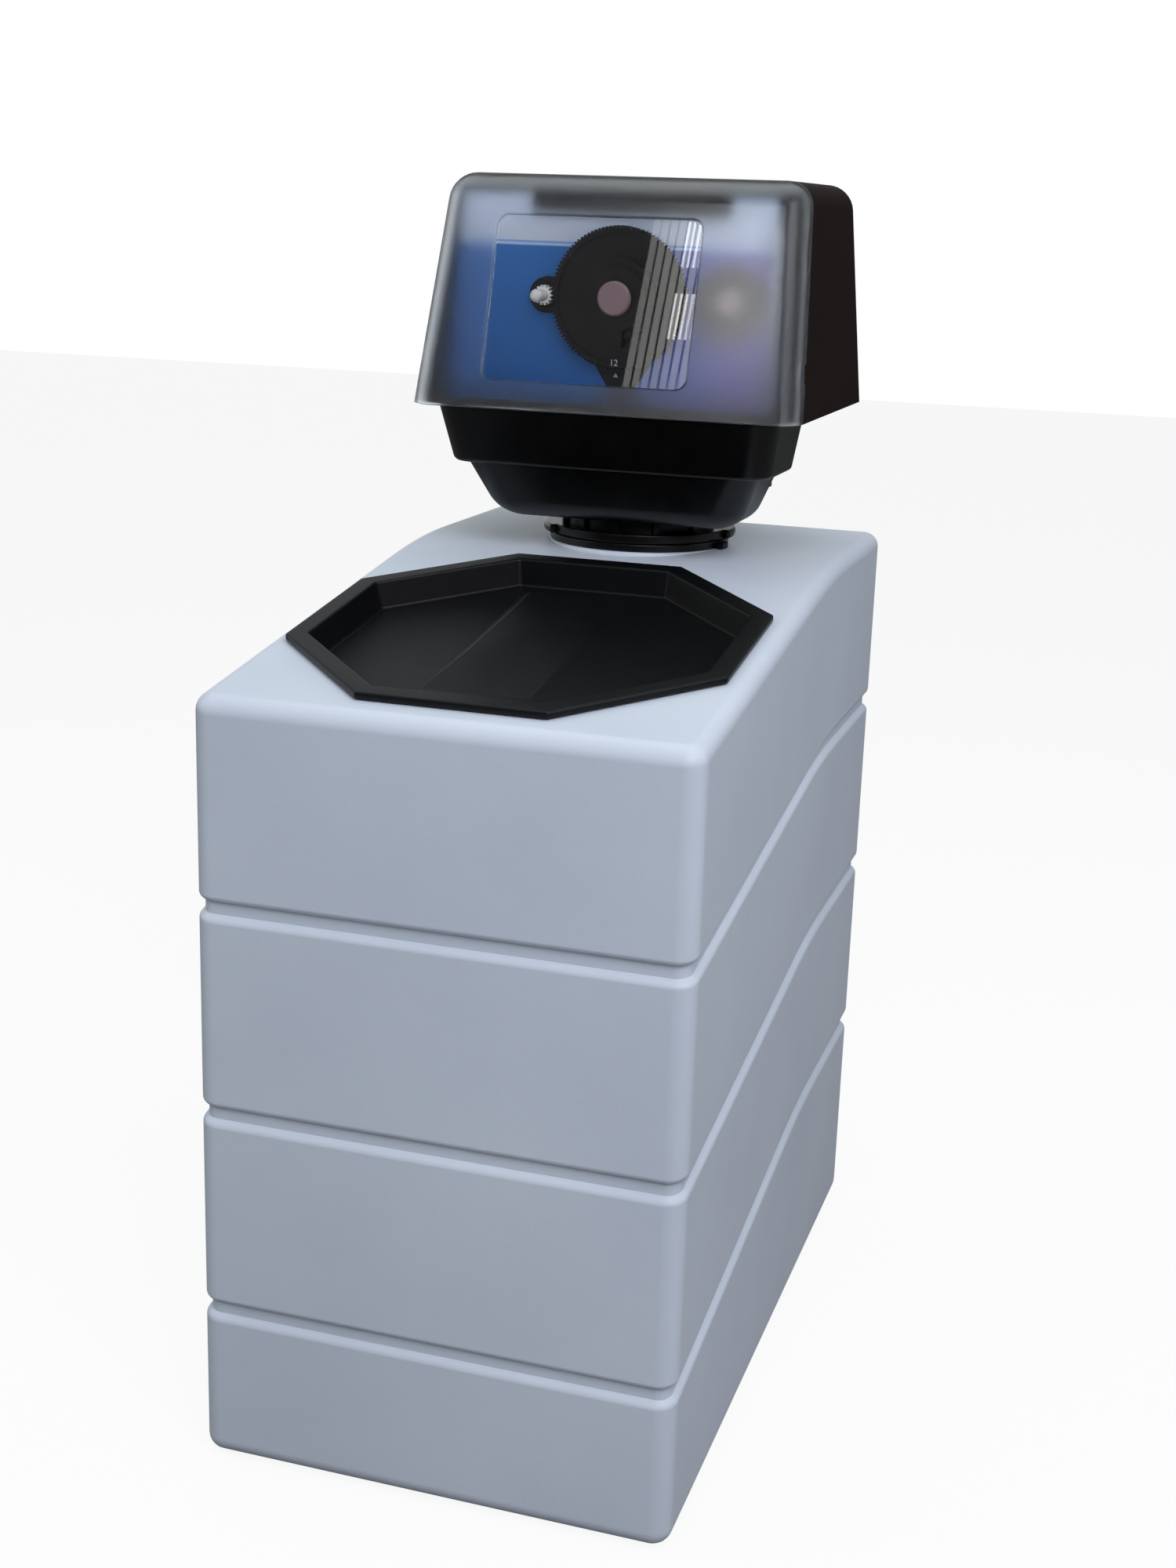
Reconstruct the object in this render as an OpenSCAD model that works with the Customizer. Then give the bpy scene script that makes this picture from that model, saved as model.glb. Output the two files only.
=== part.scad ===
// Cabinet water softener: a salt cabinet with a resin tank and a timer valve head on top.
// Millimetres. +Z is up, the front faces -Y, the origin is the middle of the underside.

/* [Cabinet] */
// Width of the cabinet
cab_w = 230; // [215:1:260]
// Depth of the cabinet
cab_d = 390; // [385:1:420]
// Height of the front edge
front_h = 370; // [350:1:400]
// Rise of the sloping top from the front edge to the level shelf
slope_rise = 37; // [25:1:50]
// Length of the sloping part of the top
slope_len = 255; // [245:1:270]
// Length over which the slope bends into the shelf
bend_len = 70; // [40:1:80]
// Radius of the upright corners
corner_r = 14; // [12:1:20]
// Rounding of the top edge
top_r = 11; // [6:1:13]
// Rounding of the bottom edge
base_r = 11; // [6:1:13]
// Rounding of the shoulders beside a groove
shoulder_r = 4; // [2:0.5:6]
// Depth of the grooves
groove_d = 3; // [2:0.5:4]
// Opening between two shoulders at the bottom of a groove
groove_gap = 1.5; // [1:0.5:3]
// Height of the lowest band at the front
base_band = 77; // [60:1:85]
// Height of each band above it, groove to groove
band_pitch = 98.5; // [92:0.5:102]
// Wall behind a groove
cab_wall = 3; // [2.5:0.5:5]

/* [Salt lid] */
// Width of the octagonal lid across its flats
lid_across = 210; // [190:1:212]
// Distance of the lid's middle from the front edge, along the slope
lid_pos = 120; // [115:1:122]
// Width of the rim's flat top
lid_rim_w = 10; // [8:0.5:14]
// Height of the rim above the slope
lid_rim_h = 3.5; // [2.5:0.5:6]
// Depth of the tray below the slope
lid_depth = 10; // [8:0.5:18]
// Slope of the tray's walls, inwards over the tray's depth
lid_draft = 3; // [1:0.5:6]
// Wall of the lid
lid_wall = 2.5; // [2:0.5:4]
// Room between the lid's skirt and the cabinet's opening
lid_room = 1.2; // [0.8:0.1:2]
// Height of the grip ridge above the tray's floor
grip_h = 6; // [4:0.5:9]
// Width of the grip ridge's top
grip_w = 33; // [25:1:45]
// Length of the grip ridge's top
grip_l = 90; // [70:1:110]

/* [Resin tank] */
// Distance of the valve's axis behind the cabinet's middle
head_y = 99; // [97:0.5:99]
// Outer radius of the tank
tank_r = 86; // [83:0.5:87]
// Wall of the tank
tank_wall = 3; // [2.5:0.5:5]
// Rounding of the tank's two ends
dome_r = 40; // [30:1:40]
// Outer radius of the tank's neck
tank_neck_r = 36; // [34:0.5:37]
// Inner radius of the tank's neck
neck_bore_r = 31; // [29:0.5:32]
// Outer radius of the riser tube
riser_r = 13; // [11:0.5:14]
// Wall of the riser tube
riser_wall = 2; // [1.5:0.5:3]
// Height of the resin bed
resin_h = 190; // [120:5:220]

/* [Brine well] */
// Outer radius of the brine well
well_r = 38; // [34:0.5:39]
// Wall of the brine well
well_wall = 2.5; // [2:0.5:4]
// Height of the brine well
well_h = 310; // [260:5:330]
// Distance of the brine well's axis from the cabinet's left side
well_side = 49; // [48:1:53]
// Distance of the brine well in front of the middle
well_y = 32; // [28:1:45]
// Radius of the brine float
float_r = 26; // [20:0.5:30]
// Height of the brine float
float_h = 34; // [25:1:45]
// Travel of the brine float
float_travel = 90; // [60:5:110]
// Radius of the float's stem
stem_r = 4; // [3:0.5:5]

/* [Neck] */
// Radius of the collar on the shelf
collar_r = 48; // [44:0.5:50]
// Height of the collar
collar_h = 4; // [3:0.5:6]
// Radius of the adapter's flange
flange_r = 48; // [44:0.5:49]
// Reach of the flange's two lugs
lug_r = 51.5; // [50:0.5:54]
// Width of a lug
lug_w = 40; // [26:1:50]
// Height of the adapter's flange
flange_h = 5; // [4:0.5:6]
// Radius of the adapter's hub
hub_r = 37.5; // [34:0.5:38]
// Height of the adapter's hub
hub_h = 8; // [7.5:0.5:12]

/* [Valve body] */
// Radius of the piston's cylinder, outside
cylinder_r = 24; // [22:0.5:28]
// Radius of the bore that takes the seals
seal_bore_r = 17; // [15:0.5:19]
// Radius of the piston
piston_r = 11; // [9:0.5:12]
// Travel of the piston
piston_travel = 18; // [12:1:20]
// Distance of the piston behind the valve's axis
piston_y = 20; // [16:0.5:22]
// Outer radius of the inlet and outlet threads
port_r = 13.2; // [12:0.1:16.6]
// Bore of the inlet and outlet
port_bore_r = 9; // [7:0.5:10]
// Distance of each port from the middle
port_x = 27; // [24:0.5:34]
// Length of the port's thread
port_l = 24; // [18:1:30]
// Radius of the drain spigot
drain_r = 6.5; // [5:0.5:8]
// Radius of the brine spigot
brine_r = 4.8; // [4:0.2:6]

/* [Head covers] */
// Height of the covers' lower edge above the valve's foot
head_rise = 56; // [46:1:66]
// Height of the covers
cover_h = 114; // [104:1:120]
// Width of the covers at the lower edge
cover_w = 202; // [192:1:206]
// Width of the covers at the top rounding
cover_top_w = 188; // [182:1:192]
// Reach of the front cover before the valve's axis, at the lower edge
reach_front = 84; // [80:0.5:90]
// Reach of the front cover before the valve's axis, at the top rounding
reach_front_top = 56; // [54:0.5:62]
// Reach of the rear cover behind the valve's axis, at the lower edge
reach_rear = 87; // [84:0.5:92]
// Reach of the rear cover behind the valve's axis, at the top rounding
reach_rear_top = 70; // [66:0.5:74]
// Rounding of the covers' top edges
cover_r = 13; // [9:0.5:15]
// Rounding of the covers' upright edges
cover_corner = 11; // [8:0.5:13]
// Wall of the covers
cover_wall = 2.6; // [2:0.2:3.4]
// Depth of the front cover, from its face to the joint
cover_split = 12; // [8:0.5:16]
// Gap at the joint between the covers
split_gap = 0.4; // [0.3:0.1:0.8]
// Width of the window
window_w = 107; // [90:1:112]
// Height of the window
window_h = 84; // [74:1:86]
// Distance of the window's middle to the left
window_x = 10; // [6:1:14]
// Distance of the window's middle above the lower edge
window_z = 56; // [54:0.5:58]
// Rounding of the window's corners
window_r = 6; // [3:0.5:10]
// Thickness of the base plate under the timer
deck_t = 4; // [3:0.5:5]
// Room between the base plate and the covers
deck_room = 0.6; // [0.4:0.1:1]

/* [Lower housing] */
// Half width of the upper tier at its top
tier_w = 89; // [84:0.5:92]
// Half width of the upper tier at its lower edge
tier_low_w = 84; // [80:0.5:84]
// Half width of the lower tier at its top
bowl_w = 77.5; // [72:0.5:78]
// Half width of the lower tier at its bottom
bowl_low_w = 65; // [58:0.5:72]
// Height of the upper tier
tier_h = 29; // [26:0.5:32]
// Height of the lower tier
bowl_h = 29; // [26:0.5:29.5]
// Rounding of the lower tier's bottom edge
bowl_r = 12; // [8:0.5:16]
// Wall of the lower housing
house_wall = 2.6; // [2:0.2:3.4]
// Distance of the housing's open back before the valve's axis
house_back = 14; // [10:0.5:18]

/* [Timer] */
// Height of the gear axes above the covers' lower edge
gear_z = 54.5; // [52:0.5:57]
// Distance of the day gear's axis to the left
gear_x = 3; // [0:0.5:5]
// Number of teeth on the day gear
gear_teeth = 108; // [96:12:108]
// Number of teeth on the drive pinion
pinion_teeth = 14; // [12:1:16]
// Tooth size: pitch diameter for each tooth
tooth_m = 0.65; // [0.6:0.01:0.66]
// Thickness of the day gear
gear_t = 4.5; // [3:0.5:5]
// Distance of the timer plate before the valve's axis
plate_front = 37; // [35:0.5:39]
// Thickness of the timer plate
plate_t = 2; // [1.6:0.2:3]
// Left edge of the timer plate from the middle
plate_left = 92; // [84:1:93]
// Right edge of the timer plate from the middle
plate_right = 78; // [76:1:88]
// Distance of the timer plate's top below the covers' top
plate_drop = 22; // [20:1:28]
// Thickness of the face label
label_t = 0.6; // [0.4:0.1:1]
// Radius of the regeneration knob
knob_r = 20; // [16:0.5:24]
// Radius of the knob's round cap
cap_r = 8.6; // [7:0.2:10]
// Radius of the knob's shaft
shaft_r = 3; // [2.5:0.1:3.5]
// Travel of the set button
button_travel = 5.5; // [5.4:0.1:6]
// Distance of the skipper wheel's axis to the right
skipper_x = 55; // [54.5:0.5:57]
// Radius of the skipper wheel
skipper_r = 18; // [16:0.5:18.5]
// Number of day tabs
day_tabs = 7; // [7:1:7]
// Travel of a day tab
tab_travel = 2; // [1.5:0.1:2.2]
// Width of a day tab
tab_w = 5; // [4:0.2:6]
// Radius of the timer motor
motor_r = 21; // [18:0.5:22]

/* [Fits] */
// Radial room of a turning or sliding fit
run_fit = 0.06; // [0.04:0.01:0.1]
// Room between pieces that only pass each other
pass_gap = 0.3; // [0.2:0.05:0.5]

/* [Hidden] */
$fn = 48;
eps = 0.01;

// Cabinet profile: the height of the top above the front edge, at a distance y from the middle
slope = slope_rise / slope_len;
slope_a = atan(slope);
back_h = front_h + slope_rise;
bend_y = slope_len - cab_d / 2;
function rise(y) = y < bend_y ? slope * (y + cab_d / 2) : slope_rise;
stations = [corner_r - cab_d / 2, bend_y - bend_len / 2, bend_y + bend_len / 2, cab_d / 2 - corner_r];
grooves = [for (i = [0 : 2]) base_band + i * band_pitch];
cab_inset = groove_d + cab_wall;
floor_t = cab_inset;
well_x = cab_w / 2 - well_side;

// Lid
opening_across = lid_across - 2 * (lid_rim_w - lid_wall - lid_room);
flat_to_point = 1 / cos(22.5);
rim_chamfer = 1.2;
grip_side = 12;
grip_front = 53;
grip_rear = 10;
bead_sides = 12;
bead_up = max([for (k = [0 : bead_sides / 4]) cos(slope_a - k * 360 / bead_sides)]);
lid_seat = (corner_r - top_r) * sin(slope_a) + top_r * (bead_up - cos(slope_a)) + 0.03;

// Tank and neck
collar_z = back_h;
flange_z = collar_z + collar_h;
hub_z = flange_z + flange_h;
body_z = hub_z + hub_h;
boot_h = 34;
boot_wall = 2;
boot_foot = 12;
tank_z = floor_t + 6;
tank_top_z = back_h - 30;
neck_top_z = flange_z - pass_gap;
spigot_l = 24;
inner_r = tank_r - tank_wall;

// Head
cover_z = body_z + head_rise;
deck_z = cover_z;
top_z = cover_z + cover_h;
plate_h = cover_h - plate_drop;
post_x = 42;
post_y = head_y - 22;
round_z = top_z - cover_r;
gear_axis_z = cover_z + gear_z;
plate_y = head_y - plate_front;
face_y = plate_y - label_t;
lean_a = atan((reach_front - reach_front_top) / (round_z - cover_z));
cover_y0 = head_y - reach_front;
deck_rise = deck_t / (round_z - cover_z);
deck_w = cover_w - deck_rise * (cover_w - cover_top_w) - 2 * (cover_wall + deck_room);
deck_y0 = cover_y0 + deck_rise * (reach_front - reach_front_top) + cover_wall / cos(lean_a) + deck_room;
deck_y1 = head_y + reach_rear - deck_rise * (reach_rear - reach_rear_top) - cover_wall - 2 * deck_room;
piston_axis_y = head_y + piston_y;
bore_z = body_z + 8;
cylinder_top = deck_z - 6;

// Gear train: the pinion stands to the left of the day gear, on the same level
gear_pitch_r = gear_teeth * tooth_m / 2;
pinion_pitch_r = pinion_teeth * tooth_m / 2;
pinion_x = -gear_x - gear_pitch_r - pinion_pitch_r - 0.1;
gear_y1 = face_y - 3;
gear_y0 = gear_y1 - gear_t;
post_r = shaft_r + 3;
pinion_y0 = gear_y0 - 0.5;
pinion_y1 = gear_y1 + 0.5;
button_neck = 9;
ball_r = 3.3;
pinion_bore = 2;
boss_r = 9;
boss_y0 = gear_y1 + pass_gap;
pocket_r = pinion_pitch_r + tooth_m + 0.6;
boss_y1 = pinion_y1 + button_travel + 5;
boss_floor = 2;
gear_top = gear_axis_z + gear_pitch_r + tooth_m;
catch_h = 9;
catch_z = gear_top + (top_z - cover_wall - gear_top - catch_h) / 2;
knob_y1 = gear_y0 - pass_gap;
knob_y0 = knob_y1 - 5;
crank_y0 = boss_y1 + 6;
crank_t = 5;
crank_r = 14;
crank_throw = 8;
yoke_y0 = crank_y0 + crank_t + 7;
skipper_y1 = face_y - 1.2;
skipper_y0 = skipper_y1 - 6;
skipper_post = 4;
screw_r = 1.6;
screw_head_r = 3.2;
foot_l = 11;
foot_screw = 6.5;
foot_screws = [22 - plate_left, -20, 30, plate_right - 13];

// Turns a solid made along +Z so that it runs along +Y
module along_y() { rotate([-90, 0, 0]) children(); }

// Places a piece on the sloping top: y runs up the slope from the front edge, z is its normal
module on_slope() { translate([0, -cab_d / 2, front_h]) rotate([slope_a, 0, 0]) children(); }

// Places a piece on the front cover's face: x across, z up the face, y inwards
module on_face() { translate([0, cover_y0, cover_z]) rotate([-lean_a, 0, 0]) children(); }

module octagon(across) { rotate(22.5) circle(d = across * flat_to_point, $fn = 8); }

module rounded_rect(w, h, r)
{
    square([w - 2 * r, h], center = true);
    square([w, h - 2 * r], center = true);
    for (sx = [-1, 1], sy = [-1, 1])
        translate([sx * (w / 2 - r), sy * (h / 2 - r)]) circle(r);
}

module ring(r_out, r_in, h)
{
    difference() {
        cylinder(r = r_out, h = h);
        translate([0, 0, -1]) cylinder(r = r_in, h = h + 2);
    }
}

module screw(shank)
{
    cylinder(r = screw_r, h = shank);
    translate([0, 0, shank]) cylinder(r = screw_head_r, h = 2);
}

// A rounded bead of the cabinet's upright corner
module corner_bead(y, z, r)
{
    for (sx = [-1, 1])
        translate([sx * (cab_w / 2 - corner_r), y, z])
            rotate_extrude($fn = 24) intersection() {
                translate([corner_r - r, 0]) circle(r, $fn = bead_sides);
                translate([0, -r]) square([corner_r, 2 * r]);
            }
}

module cabinet_posts(inset, z0, top_inset)
{
    for (y = stations, sx = [-1, 1])
        translate([sx * (cab_w / 2 - corner_r), y, z0])
            cylinder(r = corner_r - inset, h = front_h + rise(y) - top_inset - z0, $fn = 24);
}

// One band of the cabinet between two grooves, as three runs from front to back
module band(z0, z1, r0, r1, follow)
{
    for (i = [0 : len(stations) - 2])
        hull()
            for (y = [stations[i], stations[i + 1]]) {
                corner_bead(y, z0 + r0 + (follow ? rise(y) : 0), r0);
                corner_bead(y, z1 - r1 + rise(y), r1);
            }
}

module cabinet()
{
    half = groove_gap / 2;
    color("gainsboro") difference() {
        union() {
            band(0, grooves[0] - half, base_r, shoulder_r, false);
            band(grooves[0] + half, grooves[1] - half, shoulder_r, shoulder_r, true);
            band(grooves[1] + half, grooves[2] - half, shoulder_r, shoulder_r, true);
            band(grooves[2] + half, front_h, shoulder_r, top_r, true);
            hull() cabinet_posts(groove_d, base_r, top_r);
            translate([0, head_y, front_h]) cylinder(r = collar_r + 1.5, h = slope_rise);
        }
        hull() cabinet_posts(cab_inset, floor_t, cab_inset);
        on_slope() translate([0, lid_pos, -2 * cab_inset])
            linear_extrude(4 * cab_inset) octagon(opening_across);
        translate([0, head_y, back_h - 3 * cab_inset]) cylinder(r = tank_neck_r + 2, h = 6 * cab_inset);
        overflow_at() translate([0, 0, -3 * cab_inset]) cylinder(r = overflow_r, h = 6 * cab_inset);
    }
}

module salt_lid()
{
    inner = lid_across / 2 - lid_rim_w;
    floor_half = inner - lid_draft;
    outline = [[0, -lid_depth], [floor_half, -lid_depth], [inner, lid_rim_h],
               [lid_across / 2 - rim_chamfer, lid_rim_h], [lid_across / 2, lid_rim_h - rim_chamfer],
               [lid_across / 2, 0], [inner + lid_wall, 0], [floor_half + lid_wall, -lid_depth - lid_wall],
               [0, -lid_depth - lid_wall]];
    color("#1b1c1e") on_slope() translate([0, lid_pos, lid_seat]) {
        rotate(22.5) rotate_extrude($fn = 8)
            polygon([for (p = outline) [p[0] * flat_to_point, p[1]]]);
        translate([-grip_w / 4, grip_l / 3, -lid_depth]) hull() {
            translate([-grip_w / 2 - grip_side, -grip_l / 2 - grip_front, -lid_wall / 2])
                cube([grip_w + 2 * grip_side, grip_l + grip_front + grip_rear, lid_wall / 2]);
            translate([0, 0, grip_h - 1]) cube([grip_w, grip_l, 2], center = true);
        }
    }
}

// Overflow outlet low on the cabinet's back, beside the tank
overflow_r = 11;
overflow_bore = 8;
overflow_z = 262;
overflow_side = 32;
overflow_x = cab_w / 2 - overflow_side;
module overflow_at() { translate([-overflow_x, cab_d / 2, overflow_z]) along_y() children(); }

module overflow_elbow()
{
    reach = 14;
    drop = 34;
    grip = 18;
    tail = 12;
    collar = 4;
    color("#232426") overflow_at() difference() {
        union() {
            translate([0, 0, pass_gap / 3]) cylinder(r = overflow_r + collar, h = collar);
            translate([0, 0, -cab_inset - tail])
                cylinder(r = overflow_r - pass_gap, h = cab_inset + tail + reach);
            translate([0, 0, reach]) sphere(overflow_r - pass_gap);
            translate([0, 0, reach]) along_y() cylinder(r = overflow_r - 0.8, h = drop);
            translate([0, drop - grip, reach]) along_y() cylinder(r = overflow_r, h = grip);
        }
        translate([0, 0, -cab_inset - tail - 1])
            cylinder(r = overflow_bore, h = cab_inset + tail + 1 + reach);
        translate([0, 0, reach]) sphere(overflow_bore);
        translate([0, 0, reach]) along_y() cylinder(r = overflow_bore, h = drop + 1);
    }
}

module overflow_nut()
{
    color("#2b2c2e") overflow_at() translate([0, 0, -cab_inset - pass_gap / 3 - 7]) difference() {
        cylinder(r = overflow_r + 6, h = 7, $fn = 6);
        translate([0, 0, -1]) cylinder(r = overflow_r - pass_gap + run_fit, h = 9);
    }
}

module well_at() { translate([-well_x, -well_y, floor_t]) children(); }

module brine_well()
{
    slot_w = 4;
    color("whitesmoke") well_at() difference() {
        cylinder(r = well_r, h = well_h);
        translate([0, 0, well_wall]) cylinder(r = well_r - well_wall, h = well_h);
        for (a = [0 : 60 : 300], z = [14 : 12 : 50])
            rotate(a) translate([0, -slot_w / 2, z]) cube([well_r + 1, slot_w, 6]);
    }
}

module well_cap()
{
    skirt = 8;
    top = 3;
    color("#2b2c2e") well_at() translate([0, 0, well_h]) difference() {
        union() {
            cylinder(r = well_r + 1, h = top);
            translate([0, 0, -skirt]) cylinder(r = well_r - well_wall - pass_gap, h = skirt);
        }
        translate([0, 0, -skirt - 1]) cylinder(r = well_r - 2 * well_wall - pass_gap, h = skirt + 1);
        translate([0, 0, -1]) cylinder(r = stem_r + pass_gap, h = top + 2);
    }
}

// Brine valve: a slotted foot on the well's floor, and a stem with a stop on each side of the float
foot_r = 18;
foot_h = 60;
float_z = 110;
stop_h = 6;
module brine_valve()
{
    slot_w = 3;
    color("#d9d9d4") well_at() translate([0, 0, well_wall]) {
        difference() {
            cylinder(r = foot_r, h = foot_h);
            for (a = [0 : 45 : 315])
                rotate(a) translate([foot_r * 2 / 3, -slot_w / 2, foot_h / 8])
                    cube([foot_r, slot_w, foot_h / 2]);
        }
        cylinder(r = stem_r, h = well_h + 2 * stop_h);
        translate([0, 0, float_z - stop_h]) cylinder(r = stem_r + stop_h, h = stop_h);
        translate([0, 0, float_z + float_h + float_travel + run_fit])
            cylinder(r = stem_r + stop_h, h = stop_h);
    }
}

module brine_float()
{
    color("whitesmoke") well_at() translate([0, 0, well_wall + float_z]) difference() {
        union() {
            translate([0, 0, 4]) cylinder(r = float_r, h = float_h - 8);
            cylinder(r1 = float_r - 4, r2 = float_r, h = 4);
            translate([0, 0, float_h - 4]) cylinder(r1 = float_r, r2 = float_r - 4, h = 4);
        }
        translate([0, 0, -1]) cylinder(r = stem_r + run_fit, h = float_h + 2);
    }
}

module axis_at(z) { translate([0, head_y, z]) children(); }

// Half outline of a tank with well rounded ends between two heights
module capsule(r, z0, z1, end_r)
{
    translate([0, z0]) square([r - end_r, z1 - z0]);
    translate([0, z0 + end_r]) square([r, z1 - z0 - 2 * end_r]);
    for (z = [z0 + end_r, z1 - end_r])
        translate([r - end_r, z]) circle(end_r, $fn = 64);
}

module resin_tank()
{
    color("#3c5a86") axis_at(0) rotate_extrude($fn = 64) difference() {
        union() {
            capsule(tank_r, tank_z, tank_top_z, dome_r);
            translate([0, tank_top_z - 20]) square([tank_neck_r, neck_top_z - tank_top_z + 20]);
        }
        capsule(inner_r, tank_z + tank_wall, tank_top_z - tank_wall, dome_r - tank_wall);
        translate([-1, tank_top_z - 30]) square([neck_bore_r + 1, 80]);
    }
}

module tank_base()
{
    color("#232426") axis_at(0) rotate_extrude($fn = 64) difference() {
        translate([tank_r - dome_r - boot_foot, floor_t])
            square([dome_r + boot_foot + boot_wall, boot_h]);
        capsule(tank_r + pass_gap, tank_z - pass_gap, tank_top_z, dome_r + pass_gap);
    }
}

basket_h = 40;
basket_end = 6;
basket_r = riser_r + 12;
basket_z = tank_z + tank_wall + 2;
riser_top = body_z - 4;
module riser_tube()
{
    color("whitesmoke") axis_at(basket_z + basket_h)
        ring(riser_r, riser_r - riser_wall, riser_top - basket_z - basket_h);
}

module lower_basket()
{
    color("#d9d9d4") axis_at(basket_z) difference() {
        cylinder(r = basket_r, h = basket_h);
        translate([0, 0, basket_end / 2]) cylinder(r = riser_r - riser_wall, h = basket_h);
        for (a = [0 : 30 : 330])
            rotate(a) translate([riser_r, -1, basket_end]) cube([basket_r, 2, basket_h - 2 * basket_end]);
    }
}

module upper_basket()
{
    r = neck_bore_r - 4;
    h = 26;
    color("#d9d9d4") axis_at(flange_z - spigot_l - h) difference() {
        cylinder(r = r, h = h);
        translate([0, 0, -1]) cylinder(r = riser_r + run_fit, h = h + 2);
        for (a = [0 : 30 : 330])
            rotate(a) translate([riser_r + 4, -1, 4]) cube([20, 2, h - 8]);
    }
}

module resin_bed()
{
    skin = tank_wall + pass_gap;
    color("#a8672a") axis_at(0) rotate_extrude($fn = 64) difference() {
        intersection() {
            capsule(tank_r - skin, tank_z + skin, tank_top_z - skin, dome_r - skin);
            square([tank_r, tank_z + resin_h]);
        }
        translate([-1, 0]) square([basket_r + pass_gap + 1, basket_z + basket_h + pass_gap]);
        translate([-1, 0]) square([riser_r + pass_gap + 1, tank_z + resin_h + 1]);
    }
}

// Flat collar on the shelf, with a small stop at its right
module neck_collar()
{
    stop_w = 6;
    color("#17181a") axis_at(collar_z) {
        ring(collar_r, tank_neck_r + pass_gap, collar_h);
        rotate(-14) translate([collar_r - stop_w / 3, -stop_w / 2, 0]) cube([stop_w, stop_w, collar_h]);
    }
}

module neck_seal()
{
    seal_r = 1.8;
    color("#101112") axis_at(flange_z - spigot_l / 2)
        rotate_extrude() translate([neck_bore_r - seal_r, 0]) circle(seal_r - run_fit, $fn = 24);
}

module tank_adapter()
{
    seal_r = 1.8;
    rib_w = 5;
    lug_turn = 16.5;
    color("#1a1b1d") axis_at(flange_z) difference() {
        union() {
            cylinder(r = flange_r, h = flange_h);
            for (a = [lug_turn, lug_turn + 180])
                rotate(a) intersection() {
                    translate([0, -lug_w / 2, 0]) cube([lug_r + 1, lug_w, flange_h]);
                    cylinder(r = lug_r, h = flange_h);
                }
            cylinder(r = hub_r, h = flange_h + hub_h);
            for (a = [-100, -75, -50, -130, 50, 90, 130])
                rotate(a) translate([hub_r - 2, -rib_w / 2, flange_h]) cube([5, rib_w, hub_h]);
            translate([0, 0, -spigot_l]) cylinder(r = neck_bore_r - pass_gap, h = spigot_l + 1);
        }
        translate([0, 0, -spigot_l - 1])
            cylinder(r = riser_r + run_fit, h = spigot_l + flange_h + hub_h + 2);
        translate([0, 0, -spigot_l / 2])
            rotate_extrude() translate([neck_bore_r - seal_r, 0]) square(2 * seal_r + 0.2, center = true);
    }
}

// Levels of the valve's ports
port_z = body_z + 26;
port_face = piston_axis_y + 34;
side_face = 46;
block_front = piston_axis_y - 8;
block_h = 32;
drain_y = piston_axis_y + 10;
injector_y = piston_axis_y + 8;
injector_screw = 9;
injector_w = 16;
injector_l = 28;
brine_push = 8;
brine_drop = 8;
module valve_body()
{
    color("#26272a") difference() {
        union() {
            axis_at(body_z) cylinder(r = hub_r + 5, h = 11.5);
            translate([0, piston_axis_y, body_z]) cylinder(r = cylinder_r, h = cylinder_top - body_z);
            translate([-side_face, block_front, port_z - block_h / 2])
                cube([2 * side_face, port_face - block_front, block_h]);
            for (sx = [-1, 1])
                translate([sx * post_x, post_y, body_z + 2]) cylinder(r = 6, h = deck_z - body_z - 2);
            translate([-post_x, post_y - 7.5, body_z + 2]) cube([2 * post_x, 15, 6]);
            for (sx = [-1, 1])
                translate([sx * 38 - 6, port_face - 14, port_z]) cube([12, 14, deck_z - port_z]);
        }
        translate([0, piston_axis_y, bore_z]) cylinder(r = seal_bore_r, h = cylinder_top);
        axis_at(body_z - 1) cylinder(r = riser_r + 1, h = 8);
        for (sx = [-1, 1]) {
            translate([sx * port_x, piston_axis_y, port_z]) along_y() cylinder(r = port_bore_r, h = 60);
            translate([sx * port_x, port_face - 12, port_z]) along_y() cylinder(r = port_r - 1, h = 30);
            translate([sx * post_x, post_y, deck_z - 12]) cylinder(r = screw_r + eps, h = 13);
        }
        translate([-side_face - 1, drain_y, port_z]) rotate([0, 90, 0]) cylinder(r = drain_r, h = 10.5);
        for (sy = [-1, 1])
            translate([side_face - 8.5, injector_y + sy * injector_screw, port_z])
                rotate([0, 90, 0]) cylinder(r = screw_r + eps, h = 12);
    }
}

plug_h = 7;
module seal_stack()
{
    h = cylinder_top - bore_z - plug_h;
    color("#3a3a3c") translate([0, piston_axis_y, bore_z]) difference() {
        cylinder(r = seal_bore_r - run_fit, h = h);
        translate([0, 0, -1]) cylinder(r = piston_r + run_fit, h = h + 2);
        for (z = [6 : 7 : h - 6])
            translate([0, 0, z]) ring(seal_bore_r + 1, seal_bore_r - 2.5, 3);
    }
}

rod_r = 4;
module end_plug()
{
    color("#cfcfca") translate([0, piston_axis_y, cylinder_top - plug_h]) difference() {
        union() {
            cylinder(r = seal_bore_r - run_fit, h = plug_h);
            translate([0, 0, plug_h]) cylinder(r = seal_bore_r + 3, h = 3);
        }
        translate([0, 0, -1]) cylinder(r = rod_r + run_fit, h = plug_h + 6);
    }
}

piston_h = cylinder_top - bore_z - plug_h - piston_travel - 2;
yoke_z = deck_z + 14;
module piston()
{
    waist = piston_h / 4;
    color("silver") translate([0, piston_axis_y, bore_z + 1]) {
        difference() {
            cylinder(r = piston_r, h = piston_h);
            translate([0, 0, waist]) ring(piston_r + 1, piston_r - 3, waist);
        }
        translate([0, 0, piston_h - 1]) cylinder(r = rod_r, h = yoke_z - bore_z - piston_h);
    }
}

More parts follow.
